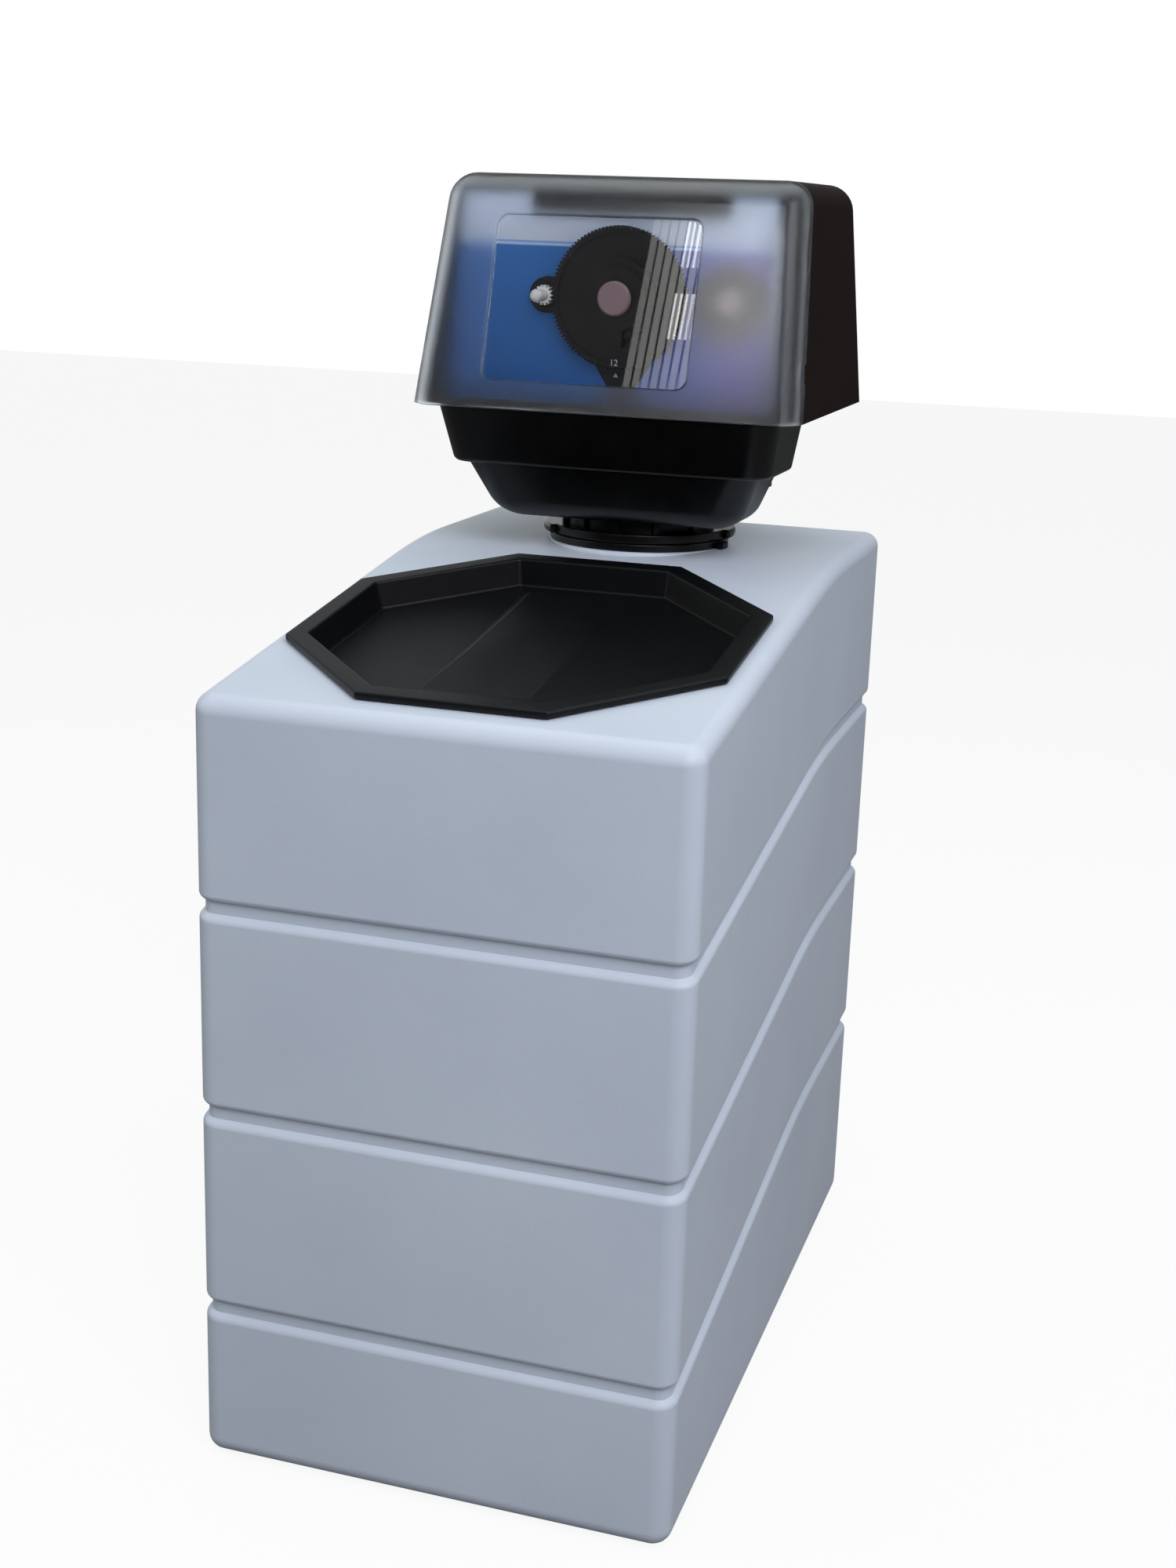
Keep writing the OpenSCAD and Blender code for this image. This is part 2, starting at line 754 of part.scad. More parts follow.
module piston_yoke()
{
    plate = 3;
    arm = 5;
    color("#c9c9c4") {
        translate([0, piston_axis_y, yoke_z]) difference() {
            translate([-10, yoke_y0 - piston_axis_y, 0]) cube([20, piston_axis_y - yoke_y0 + 8, arm]);
            translate([0, 0, -1]) cylinder(r = screw_r, h = arm + 2);
        }
        translate([-gear_x, yoke_y0, gear_axis_z]) along_y() difference() {
            translate([-17, -13, 0]) cube([34, gear_axis_z - yoke_z + 13, plate]);
            translate([0, crank_throw, -1]) linear_extrude(plate + 2) rounded_rect(24, 8, 3.9);
        }
    }
}

module injector_body()
{
    w = injector_w;
    l = injector_l;
    color("#2c2d30") translate([side_face, injector_y, port_z]) difference() {
        union() {
            translate([0, -l / 2, -block_h / 2 + 1]) cube([w, l, block_h - 2]);
            translate([w, 0, 0]) rotate([0, 90, 0]) cylinder(r = 5, h = 4);
        }
        for (sy = [-1, 1])
            translate([-1, sy * injector_screw, 0])
                rotate([0, 90, 0]) cylinder(r = screw_r + pass_gap, h = w + 2);
        translate([w / 2, l / 2 - brine_push - pass_gap, -brine_drop]) along_y()
            cylinder(r = brine_r - pass_gap, h = l);
    }
}

module injector_screws()
{
    color("silver")
        for (sy = [-1, 1])
            translate([side_face - 7.9, injector_y + sy * injector_screw, port_z])
                rotate([0, 90, 0]) screw(24);
}

// Hose spigot for the brine, pushed into the injector from behind
module brine_spigot()
{
    reach = 22;
    nut = 6;
    tail_r = brine_r - pass_gap - run_fit;
    x = side_face + injector_w / 2;
    y = injector_y + injector_l / 2;
    color("#2c2d30") translate([x, y, port_z - brine_drop]) along_y() difference() {
        union() {
            translate([0, 0, nut]) cylinder(r = brine_r, h = reach - nut);
            cylinder(r = brine_r + 3, h = nut, $fn = 6);
            translate([0, 0, -brine_push]) cylinder(r = tail_r, h = brine_push + 1);
        }
        translate([0, 0, -brine_push - 1]) cylinder(r = brine_r - 2, h = reach + brine_push + 2);
    }
}

module drain_elbow()
{
    reach = 15;
    tail = 34;
    grip = 22;
    color("#2c2d30") translate([-side_face, drain_y, port_z]) difference() {
        union() {
            translate([9, 0, 0]) rotate([0, -90, 0]) cylinder(r = drain_r - run_fit, h = 9 + reach);
            rotate([0, -90, 0]) cylinder(r = drain_r + 4, h = 5, $fn = 6);
            translate([-reach, 0, 0]) sphere(drain_r - run_fit);
            translate([-reach, 0, 0]) along_y() cylinder(r = drain_r - 0.6, h = tail);
            translate([-reach, tail - grip, 0]) along_y() cylinder(r = drain_r, h = grip);
        }
        translate([11, 0, 0]) rotate([0, -90, 0]) cylinder(r = drain_r - 2, h = 11 + reach);
        translate([-reach, 0, 0]) sphere(drain_r - 2);
        translate([-reach, 0, 0]) along_y() cylinder(r = drain_r - 2, h = tail + 1);
    }
}

// Tail piece pushed into the valve, with a thread for the pipe behind the cabinet
module port_tail(sx)
{
    collar = 6;
    neck = 4;
    push = 11;
    color("#303134") translate([sx * port_x, port_face, port_z]) along_y() difference() {
        union() {
            translate([0, 0, -push]) cylinder(r = port_r - 1 - run_fit, h = push + 1);
            cylinder(r = port_r + 2.5, h = collar, $fn = 6);
            translate([0, 0, collar]) cylinder(r = port_r - 1, h = neck + 1);
            translate([0, 0, collar + neck]) cylinder(r = port_r, h = port_l);
        }
        translate([0, 0, -push - 1]) cylinder(r = port_bore_r, h = push + collar + neck + port_l + 2);
        translate([0, 0, -push / 2]) ring(port_r + 1, port_r - 3.4, 2.6);
    }
}

module inlet_tail() { port_tail(-1); }
module outlet_tail() { port_tail(1); }

module port_seals()
{
    seal_r = 1.1;
    color("#101112")
        for (sx = [-1, 1])
            translate([sx * port_x, port_face - 5.5 + 1.3, port_z]) along_y()
                rotate_extrude() translate([port_r - 1 - run_fit - seal_r, 0]) circle(seal_r, $fn = 24);
}

// Retaining plates over the tails' collars, screwed to the port block
module port_clips()
{
    plate = 2;
    color("silver")
        for (sx = [-1, 1])
            translate([sx * port_x, port_face + 6 + pass_gap, port_z]) along_y() difference() {
                linear_extrude(plate) rounded_rect(2 * port_r + 10, 2 * port_r + 6, 4);
                translate([0, 0, -1]) cylinder(r = port_r + pass_gap, h = plate + 2);
            }
}

module base_plate()
{
    l = deck_y1 - deck_y0;
    color("#1d1e20") translate([0, deck_y0 + l / 2, deck_z]) difference() {
        linear_extrude(deck_t) rounded_rect(deck_w, l, cover_corner);
        translate([0, piston_axis_y - deck_y0 - l / 2, -1]) cylinder(r = seal_bore_r + 5, h = deck_t + 2);
        for (sx = [-1, 1])
            translate([sx * post_x, post_y - deck_y0 - l / 2, -1])
                cylinder(r = screw_r + pass_gap, h = deck_t + 2);
    }
}

module deck_screws()
{
    color("silver")
        for (sx = [-1, 1])
            translate([sx * post_x, post_y, deck_z - 10 + deck_t]) screw(10);
}

// Lower housing: how far its front stands behind the base plate's front edge, from the top down
house_y1 = head_y - house_back;
tier_front = deck_y0 - 2;
tier_low_front = deck_y0 + 7.5;
bowl_front = deck_y0 + 9;
bowl_low_front = deck_y0 + 23;
house_corner = 14;

// One tier: rounded front corners, flat open back; a cut with a wall runs out through the back
module tier(w0, f0, z0, w1, f1, z1, wall)
{
    back = wall > 0 ? house_back : eps;
    hull()
        for (s = [[w0, f0, z0], [w1, f1, z1]]) {
            for (sx = [-1, 1])
                translate([sx * (s[0] - house_corner), s[1] + house_corner, s[2]])
                    cylinder(r = house_corner - wall, h = eps, $fn = 32);
            translate([wall - s[0], house_y1 - eps, s[2]]) cube([2 * (s[0] - wall), back, eps]);
        }
}

// The bowl below: the sides turn under with a large radius and the front slopes away
module bowl(z0, z1, wall)
{
    r = bowl_r - wall;
    back = wall > 0 ? house_back : eps;
    low_x = bowl_low_w - bowl_r;
    hull() {
        for (sx = [-1, 1]) {
            translate([sx * (bowl_w - house_corner), bowl_front + house_corner, z1])
                cylinder(r = house_corner - wall, h = eps, $fn = 32);
            translate([sx * low_x, bowl_low_front + bowl_r, z0 + bowl_r]) sphere(r, $fn = 32);
            translate([sx * low_x, house_y1 - eps, z0 + bowl_r])
                along_y() cylinder(r = r, h = back, $fn = 32);
        }
        translate([wall - bowl_w, house_y1 - eps, z1]) cube([2 * (bowl_w - wall), back, eps]);
    }
}

module lower_housing()
{
    step_z = deck_z - tier_h;
    low_z = step_z - bowl_h;
    color("#0f1011") difference() {
        union() {
            tier(tier_low_w, tier_low_front, step_z, tier_w, tier_front, deck_z - eps, 0);
            bowl(low_z, step_z + 1, 0);
        }
        tier(tier_low_w, tier_low_front, step_z + house_wall, tier_w, tier_front, deck_z + 1, house_wall);
        bowl(low_z, step_z + house_wall + 1, house_wall);
        axis_at(low_z - 5) cylinder(r = hub_r + 5 + pass_gap, h = bowl_h);
    }
}

// Outer form of both covers: leaning front and back, rounded top
module cover_form(inset)
{
    low_x = cover_w / 2 - cover_corner;
    high_x = cover_top_w / 2 - cover_r;
    hull()
        for (sx = [-1, 1]) {
            for (y = [cover_corner - reach_front, reach_rear - cover_corner])
                translate([sx * low_x, head_y + y, cover_z - inset])
                    cylinder(r = cover_corner - inset, h = eps, $fn = 32);
            for (y = [cover_r - reach_front_top, reach_rear_top - cover_r])
                translate([sx * high_x, head_y + y, round_z]) sphere(cover_r - inset, $fn = 32);
        }
}

module cover_shell()
{
    difference() {
        cover_form(0);
        cover_form(cover_wall);
    }
}

// All that lies in front of the joint between the covers
module before_joint(back)
{
    on_face() translate([-cover_w, back - cover_h, -cover_h / 2])
        cube([2 * cover_w, cover_h, 2 * cover_h]);
}

module window_outline(shrink)
{
    rounded_rect(window_w - 2 * shrink, window_h - 2 * shrink, window_r - shrink);
}

module rear_cover()
{
    color("#1a1918") difference() {
        cover_shell();
        before_joint(cover_split + split_gap);
    }
}

module front_cover()
{
    color([0.75, 0.78, 0.83, 0.6]) difference() {
        intersection() {
            cover_shell();
            before_joint(cover_split);
        }
        on_face() translate([-window_x, 0, window_z]) along_y()
            linear_extrude(2 * cover_split, center = true) window_outline(0);
    }
}

module window_lens()
{
    lens_t = 2;
    color([0.9, 0.92, 0.95, 0.4]) on_face() translate([-window_x, 0.3 + lens_t, window_z])
        rotate([90, 0, 0]) linear_extrude(lens_t) window_outline(run_fit);
}

module timer_plate()
{
    flange = 7;
    tongue = 60;
    w = plate_left + plate_right;
    foot_z = deck_z + deck_t;
    color("#c8cacd") difference() {
        union() {
            translate([-plate_left, plate_y, foot_z]) cube([w, plate_t, plate_h - deck_t]);
            translate([-tongue, plate_y, foot_z]) cube([2 * tongue, plate_t, catch_z + catch_h - foot_z]);
            translate([-plate_left, plate_y, foot_z]) cube([w, foot_l, 2]);
            translate([plate_right - plate_t, plate_y - flange, foot_z])
                cube([plate_t, flange + 1, plate_h - deck_t]);
            translate([-gear_x, gear_y0, gear_axis_z]) along_y()
                cylinder(r = post_r, h = plate_y - gear_y0 + 1);
            translate([skipper_x, skipper_y0, gear_axis_z]) along_y()
                cylinder(r = skipper_post, h = plate_y - skipper_y0 + 1);
        }
        translate([-gear_x, gear_y0 - 1, gear_axis_z]) along_y() cylinder(r = shaft_r + run_fit, h = 40);
        translate([pinion_x, plate_y - 10, gear_axis_z]) along_y()
            cylinder(r = boss_r + pass_gap, h = 30);
        for (x = foot_screws)
            translate([x, plate_y + foot_screw, deck_z]) cylinder(r = screw_r + pass_gap, h = 10);
    }
}

module face_label()
{
    margin = 1.5;
    w = plate_left + plate_right - 2 - 2 * margin;
    h = plate_h - deck_t - 2 * margin;
    color("#2f5fa8") translate([-plate_left + margin, face_y, deck_z + deck_t + margin]) difference() {
        cube([w, label_t - eps, h]);
        translate([plate_left - margin - gear_x, -1, gear_axis_z - deck_z - deck_t - margin])
            along_y() cylinder(r = post_r + pass_gap, h = 5);
        translate([plate_left - margin + skipper_x, -1, gear_axis_z - deck_z - deck_t - margin])
            along_y() cylinder(r = skipper_post + pass_gap, h = 5);
        translate([plate_left - margin + pinion_x, -1, gear_axis_z - deck_z - deck_t - margin])
            along_y() cylinder(r = boss_r + pass_gap, h = 5);
    }
}

module cover_catch()
{
    w = 102;
    depth = 6;
    lip = 2;
    color("#141516") translate([1 - w / 2, plate_y - depth - pass_gap / 3, catch_z]) difference() {
        cube([w, depth, catch_h]);
        translate([2 * lip, -1, lip]) cube([w - 4 * lip, depth - 1, catch_h - 2 * lip]);
    }
}

module plate_screws()
{
    color("silver")
        for (x = foot_screws)
            translate([x, plate_y + foot_screw, deck_z + deck_t + pass_gap / 3]) screw(2);
}

module timer_motor()
{
    motor_l = 18;
    motor_nose = 4;
    motor_nose_r = 6;
    color("#8d8f92") translate([pinion_x, boss_y1 + pass_gap / 3, gear_axis_z]) along_y() difference() {
        union() {
            cylinder(r = motor_nose_r, h = motor_nose);
            translate([0, 0, motor_nose]) cylinder(r = motor_r, h = motor_l);
            translate([0, 0, motor_nose + motor_l]) cylinder(r = motor_nose_r - 1, h = motor_nose + 1);
        }
        translate([0, 0, -1]) cylinder(r = pinion_bore + run_fit, h = motor_nose + motor_l);
    }
}

// Boss on the plate that guides the set button and holds its spring
module pinion_boss()
{
    color("#101113") translate([pinion_x, boss_y0, gear_axis_z]) along_y() difference() {
        union() {
            cylinder(r = boss_r, h = boss_y1 - boss_y0);
            translate([0, 0, plate_y + plate_t + pass_gap / 3 - boss_y0]) cylinder(r = boss_r + 3, h = 3);
        }
        translate([0, 0, -1]) cylinder(r = pocket_r, h = boss_y1 - boss_floor - boss_y0 + 1);
        translate([0, 0, -1]) cylinder(r = pinion_bore + run_fit, h = 60);
    }
}

module pinion_shaft()
{
    color("silver") translate([pinion_x, pinion_y0 - 3, gear_axis_z]) along_y() {
        cylinder(r = pinion_bore, h = boss_y1 + 20 - pinion_y0);
    }
}

// A spur gear along +Z with plain straight-sided teeth
module spur(teeth, h, turn)
{
    pitch_r = teeth * tooth_m / 2;
    root = pitch_r - 1.1 * tooth_m;
    tip = pitch_r + 0.85 * tooth_m;
    step = 360 / teeth;
    points = [for (i = [0 : teeth - 1], p = [[root, -0.32], [tip, -0.12], [tip, 0.12], [root, 0.32]])
        [p[0] * cos(turn + (i + p[1]) * step), p[0] * sin(turn + (i + p[1]) * step)]];
    linear_extrude(h) polygon(points);
}

module set_button()
{
    color("white") translate([pinion_x, pinion_y0, gear_axis_z]) along_y() difference() {
        union() {
            spur(pinion_teeth, pinion_y1 - pinion_y0, 0);
            translate([0, 0, -button_neck]) cylinder(r = 3, h = button_neck + 1);
            translate([0, 0, -button_neck - 1]) sphere(ball_r);
        }
        translate([0, 0, -button_travel - 3.4]) cylinder(r = pinion_bore + run_fit, h = 40);
    }
}

module button_spring()
{
    color("silver") translate([pinion_x, pinion_y1 + eps, gear_axis_z]) along_y()
        ring(pinion_bore + 1.4, pinion_bore + 0.5, boss_y1 - boss_floor - pinion_y1 - 2 * eps);
}

module day_gear()
{
    hand_holes = 6;
    color("#1c1d1f") translate([-gear_x, gear_y0, gear_axis_z]) along_y() difference() {
        spur(gear_teeth, gear_t, 180 / gear_teeth);
        translate([0, 0, -1]) cylinder(r = post_r + run_fit, h = gear_t + 2);
        translate([0, 0, -1]) ring(gear_pitch_r - 3, knob_r + 2, 2);
        for (a = [0 : 360 / hand_holes : 359])
            rotate(a + 30) translate([13, 0, gear_t - 1.5]) cylinder(r = 3, h = 3);
    }
}

module regen_knob()
{
    color("#17181a") translate([-gear_x, knob_y0, gear_axis_z]) along_y() difference() {
        union() {
            cylinder(r = knob_r - 4, h = 5);
            translate([0, 0, 2]) cylinder(r = knob_r, h = 3);
            linear_extrude(5) polygon([[-6, 0], [6, 0], [4, knob_r + 4], [-4, knob_r + 4]]);
        }
        translate([0, 0, -1]) cylinder(r = shaft_r + run_fit, h = 8);
    }
}

module knob_cap()
{
    color("#b9a4a8") translate([-gear_x, knob_y0 - 3, gear_axis_z]) along_y() {
        translate([0, 0, 1]) cylinder(r = cap_r, h = 2 - eps);
        cylinder(r1 = cap_r - 1, r2 = cap_r, h = 1);
    }
}

// Shaft behind the knob, with the crank that lifts the piston's yoke
module drive_crank()
{
    color("silver") translate([-gear_x, 0, gear_axis_z]) along_y() {
        translate([0, 0, knob_y0 + eps]) cylinder(r = shaft_r, h = crank_y0 + crank_t - knob_y0);
        translate([0, 0, crank_y0]) cylinder(r = crank_r, h = crank_t);
        translate([0, crank_throw, crank_y0 + crank_t - 1]) cylinder(r = 3.2, h = 7);
    }
}

tab_l = 9;
tab_t = 2;
module tab_box(room)
{
    translate([skipper_r - tab_l - room, -tab_w / 2 - room, tab_t - room])
        cube([tab_l + 2 * room, tab_w + 2 * room, tab_t + 2 * room]);
}

module skipper_at() { translate([skipper_x, skipper_y0, gear_axis_z]) along_y() children(); }

module skipper_wheel()
{
    color("#1d1e22") skipper_at() difference() {
        cylinder(r = skipper_r, h = 6);
        translate([0, 0, -1]) cylinder(r = skipper_post + run_fit, h = 8);
        for (i = [0 : day_tabs - 1])
            rotate(i * 360 / day_tabs) {
                tab_box(run_fit);
                translate([tab_travel, 0, 0]) tab_box(run_fit);
            }
    }
}

module skipper_cap()
{
    color("#c7a9ad") skipper_at() translate([0, 0, -2 - eps])
        cylinder(r1 = skipper_post + 1, r2 = skipper_post + 2, h = 2);
}

module day_tab(i) { color("#b9bbbd") skipper_at() rotate((i - 1) * 360 / day_tabs) tab_box(0); }

cabinet();
salt_lid();
overflow_elbow();
overflow_nut();
brine_well();
well_cap();
brine_valve();
brine_float();
resin_tank();
tank_base();
riser_tube();
lower_basket();
upper_basket();
resin_bed();
neck_collar();
neck_seal();
tank_adapter();
valve_body();
seal_stack();
end_plug();
piston();
piston_yoke();
injector_body();
injector_screws();
drain_elbow();
brine_spigot();
inlet_tail();
outlet_tail();
port_clips();
port_seals();
base_plate();
deck_screws();
lower_housing();
rear_cover();
front_cover();
window_lens();
timer_plate();
face_label();
cover_catch();
plate_screws();
timer_motor();
pinion_boss();
pinion_shaft();
set_button();
button_spring();
day_gear();
regen_knob();
knob_cap();
drive_crank();
skipper_wheel();
skipper_cap();
day_tab(1);  // day_tab_1
day_tab(2);  // day_tab_2
day_tab(3);  // day_tab_3
day_tab(4);  // day_tab_4
day_tab(5);  // day_tab_5
day_tab(6);  // day_tab_6
day_tab(7);  // day_tab_7
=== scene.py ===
import math

import bpy
from mathutils import Matrix, Vector


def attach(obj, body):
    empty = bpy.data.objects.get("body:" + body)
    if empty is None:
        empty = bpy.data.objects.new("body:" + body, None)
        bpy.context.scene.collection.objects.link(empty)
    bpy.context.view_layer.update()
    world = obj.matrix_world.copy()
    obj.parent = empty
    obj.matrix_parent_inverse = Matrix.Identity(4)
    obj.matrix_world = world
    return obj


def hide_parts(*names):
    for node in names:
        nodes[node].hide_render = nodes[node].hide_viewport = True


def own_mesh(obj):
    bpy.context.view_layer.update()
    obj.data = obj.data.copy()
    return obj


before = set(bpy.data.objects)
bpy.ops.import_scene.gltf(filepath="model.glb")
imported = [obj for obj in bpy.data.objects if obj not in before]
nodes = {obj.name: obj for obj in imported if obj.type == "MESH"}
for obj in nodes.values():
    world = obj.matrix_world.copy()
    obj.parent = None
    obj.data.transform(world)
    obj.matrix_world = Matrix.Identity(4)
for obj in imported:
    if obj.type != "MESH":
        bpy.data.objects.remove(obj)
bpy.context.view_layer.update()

# The viewpoint: an ordinary lens about a metre away, right of the front and level with the head.
# It looks down a little. The picture is tall, so the sensor's width lies along its long side.
eye = (.3072, -.9704, .5760)
turn, tilt, roll = (math.radians(a) for a in (17.23, 15.45, 1.88))
sensor, focal_pixels, tall_pixels = 36, 2637.2, 2000
back = Vector((math.sin(turn) * math.cos(tilt), -math.cos(turn) * math.cos(tilt), math.sin(tilt)))
level = Vector((math.cos(turn), math.sin(turn), 0))
upright = back.cross(level)
right = level * math.cos(roll) + upright * math.sin(roll)
up = upright * math.cos(roll) - level * math.sin(roll)
facing = Matrix((right, up, back)).transposed().to_4x4()
bpy.ops.object.camera_add(location=eye)
camera = bpy.context.object
camera.matrix_world = Matrix.Translation(camera.location) @ facing
camera.data.sensor_width = sensor
camera.data.lens = sensor * focal_pixels / tall_pixels
camera.data.clip_start, camera.data.clip_end = .01, 50
scene = bpy.context.scene
scene.camera = camera
scene.view_settings.view_transform = "Standard"


# The studio: one wide soft lamp overhead, others from the front and both sides, and a dim surround.
# Far off, dim folds stand for a curtain and two rows of narrow lamps for a window with blinds.
# The backdrop is plain white; reflections and clear pieces show it only low down at the left rear.
class Wire:
    """A socket of a finish's nodes, with the arithmetic that builds more of them."""

    def __init__(self, tree, socket):
        self.tree, self.socket = tree, socket

    def make(self, kind, settings, sockets, out=0):
        """A new node: its type, its settings, and the values or links of its sockets."""
        node = self.tree.nodes.new(kind)
        for key, value in settings.items():
            setattr(node, key, value)
        for key, value in sockets.items():
            if isinstance(value, Wire):
                self.tree.links.new(value.socket, node.inputs[key])
            else:
                node.inputs[key].default_value = value
        return Wire(self.tree, node.outputs[out])

    def math(self, operation, a, b=0.0):
        return self.make("ShaderNodeMath", {"operation": operation}, {0: a, 1: b})

    def __add__(self, other):
        return self.math("ADD", self, other)

    __radd__ = __add__

    def __rsub__(self, other):
        return self.math("SUBTRACT", other, self)

    def __mul__(self, other):
        return self.math("MULTIPLY", self, other)

    __rmul__ = __mul__

    def __abs__(self):
        return self.math("ABSOLUTE", self)

    def __gt__(self, other):
        return self.math("GREATER_THAN", self, other)

    def __lt__(self, other):
        return self.math("LESS_THAN", self, other)

    def over(self, low, high):
        """0 below low, 1 above high, and an even slope between."""
        return self.make("ShaderNodeMapRange", {}, {0: self, 1: low, 2: high})

    def mix(self, first, second):
        """first where this is 0, second where it is 1."""
        return self.make("ShaderNodeMix", {"data_type": "RGBA"}, {0: self, 6: first, 7: second}, out=2)


def part(place, axis):
    """One coordinate of a place."""
    return place.make("ShaderNodeSeparateXYZ", {}, {0: place}, out="XYZ".index(axis))


def rays_seen(tree):
    """Marks for rays from the camera, from a reflection and through clear pieces."""
    outputs = tree.nodes.new("ShaderNodeLightPath").outputs
    return (Wire(tree, outputs[f"Is {kind} Ray"]) for kind in ("Camera", "Glossy", "Transmission"))


white, room_dark, room_light = (1, 1, 1, 1), (.04, .04, .042, 1), (.32, .37, .38, 1)
to_bright = (-.45, .35, .6)
world = bpy.data.worlds.new("studio_surround")
scene.world = world
world.use_nodes = True
air = world.node_tree
direct, mirrored, through = rays_seen(air)
around = Wire(air, air.nodes.new("ShaderNodeTexCoord").outputs["Generated"])
towards = {0: around, 1: to_bright}
brightness = around.make("ShaderNodeVectorMath", {"operation": "DOT_PRODUCT"}, towards, out=1)
room = brightness.over(0, 1).mix(room_dark, room_light)
at_rear = part(around, "Y").over(0, .4)
low_down = 1 - part(around, "Z").over(.22, .42)
at_left = 1 - part(around, "X").over(-.25, .05)
behind = at_rear * low_down * at_left
shown = (direct + (mirrored + through) * behind).over(0, 1)
backdrop = shown.mix(room, white)
air.links.new(backdrop.socket, air.nodes["Background"].inputs["Color"])

day, warm, cool = (1, 1, 1), (1, .99, .95), (.98, .98, 1.05)
at_head = (0, .03, .53)
lamps = [
    ("overhead_lamp", (-.10, .25, 1.90), (0, 0, .4), (1.4, 1.4), 7.2, warm),
    ("front_lamp", (.88, -1.12, 1.45), (0, 0, .42), (1.4, 1.2), 26.3, cool),
    ("side_lamp", (1.70, .55, 1.35), (0, 0, .46), (1.0, 1.0), 6.3, day),
    ("left_lamp", (-1.50, -.50, 1.10), (0, 0, .5), (.8, .9), 6.5, day),
    ("far_sheet", (-.425, -1.90, 1.57), at_head, (.10, .35), .60, day),
    ("far_window_1", (-.455, -1.89, 1.685), at_head, (.11, .07), .45, day),
    ("far_window_2", (-.455, -1.89, 1.560), at_head, (.11, .07), .80, day),
]
for n in range(10):
    fold_at = (-.622 + .0145 * n, -1.90, 1.57)
    lamps.append((f"fold_{n}", fold_at, at_head, (.0105, .35), .018 + .0024 * n, warm))
for n in range(10):
    blind_at = (-.566 + .009 * (n % 5), -1.89, 1.685 - .125 * (n // 5))
    lamps.append((f"blind_{n}", blind_at, at_head, (.0035, .07), .006, day))
for name, place, aim, size, power, colour in lamps:
    bpy.ops.object.light_add(type="AREA", location=place)
    lamp = bpy.context.object
    lamp.name = name
    lamp.data.shape, lamp.data.color = "RECTANGLE", colour
    (lamp.data.size, lamp.data.size_y), lamp.data.energy = size, power
    lamp.rotation_euler = (Vector(place) - Vector(aim)).to_track_quat("Z", "Y").to_euler()

# The floor: a plain pale sheet that the object stands on, not part of it.
# Most of what the camera sees of it is white paper, and the rest keeps the shadow.
paper_share, mirrored_share = .6, .04
bpy.ops.mesh.primitive_plane_add(size=12, location=(0, 0, -.0006))
floor = bpy.context.object
floor.name = "floor"
paper = bpy.data.materials.new("floor_paper")
paper.use_nodes = True
paper_tree = paper.node_tree
lit = paper_tree.nodes.new("ShaderNodeEmission")
lit.inputs["Color"].default_value = white
lit.inputs["Strength"].default_value = 1.5
dull = paper_tree.nodes["Principled BSDF"]
dull.inputs["Base Color"].default_value = (.2, .2, .2, 1)
dull.inputs["Roughness"].default_value = .8
blend = paper_tree.nodes.new("ShaderNodeMixShader")
direct, mirrored, through = rays_seen(paper_tree)
shown = (direct + through + mirrored * mirrored_share).over(0, 1)
paper_tree.links.new((shown * paper_share).socket, blend.inputs[0])
paper_tree.links.new(dull.outputs[0], blend.inputs[1])
paper_tree.links.new(lit.outputs[0], blend.inputs[2])
paper_tree.links.new(blend.outputs[0], paper_tree.nodes["Material Output"].inputs["Surface"])
floor.data.materials.append(paper)


# The cabinet: one rotationally moulded shell of pale grey polyethylene, stiffened by three grooves.
# Its skin has the faint dimples and the soft bloom that the mould leaves.
# The lid's opening is cut in the slope, and the neck passes through a pad on the shelf.
def begin(kind, **sizes):
    """A new primitive of that kind, alone in the selection, with its place in its mesh."""
    if bpy.context.mode != "OBJECT":
        bpy.ops.object.mode_set(mode="OBJECT")
    bpy.ops.object.select_all(action="DESELECT")
    getattr(bpy.ops.mesh, f"primitive_{kind}_add")(**sizes)
    bpy.ops.object.transform_apply(location=True, rotation=True, scale=True)
    return bpy.context.object


def hold(piece):
    """Takes one piece in hand, and nothing else."""
    if bpy.context.mode != "OBJECT":
        bpy.ops.object.mode_set(mode="OBJECT")
    bpy.ops.object.select_all(action="DESELECT")
    piece.select_set(True)
    bpy.context.view_layer.objects.active = piece


def pick(piece, kind, wanted):
    """Selects a piece's points, edges or faces by their place, and leaves it in edit mode."""
    hold(piece)
    bpy.ops.object.mode_set(mode="EDIT")
    bpy.ops.mesh.select_mode(type=kind)
    bpy.ops.mesh.select_all(action="DESELECT")
    bpy.ops.object.mode_set(mode="OBJECT")
    mesh = piece.data
    if kind == "VERT":
        for point in mesh.vertices:
            point.select = bool(wanted(point.co))
    elif kind == "EDGE":
        for edge in mesh.edges:
            edge.select = bool(wanted(*(mesh.vertices[i].co for i in edge.vertices)))
    else:
        for face in mesh.polygons:
            face.select = bool(wanted(face.center, face.normal))
    bpy.ops.object.mode_set(mode="EDIT")


def slice_at(piece, place, normal, **settings):
    """Cuts a piece all through at a plane."""
    hold(piece)
    bpy.ops.object.mode_set(mode="EDIT")
    bpy.ops.mesh.select_all(action="SELECT")
    bpy.ops.mesh.bisect(plane_co=place, plane_no=normal, **settings)
    bpy.ops.object.mode_set(mode="OBJECT")


def modify(piece, kind, **settings):
    """Adds a modifier with its settings and applies it."""
    hold(piece)
    bpy.ops.object.modifier_add(type=kind)
    tool = piece.modifiers[-1]
    for key, value in settings.items():
        setattr(tool, key, value)
    bpy.ops.object.modifier_apply(modifier=tool.name)


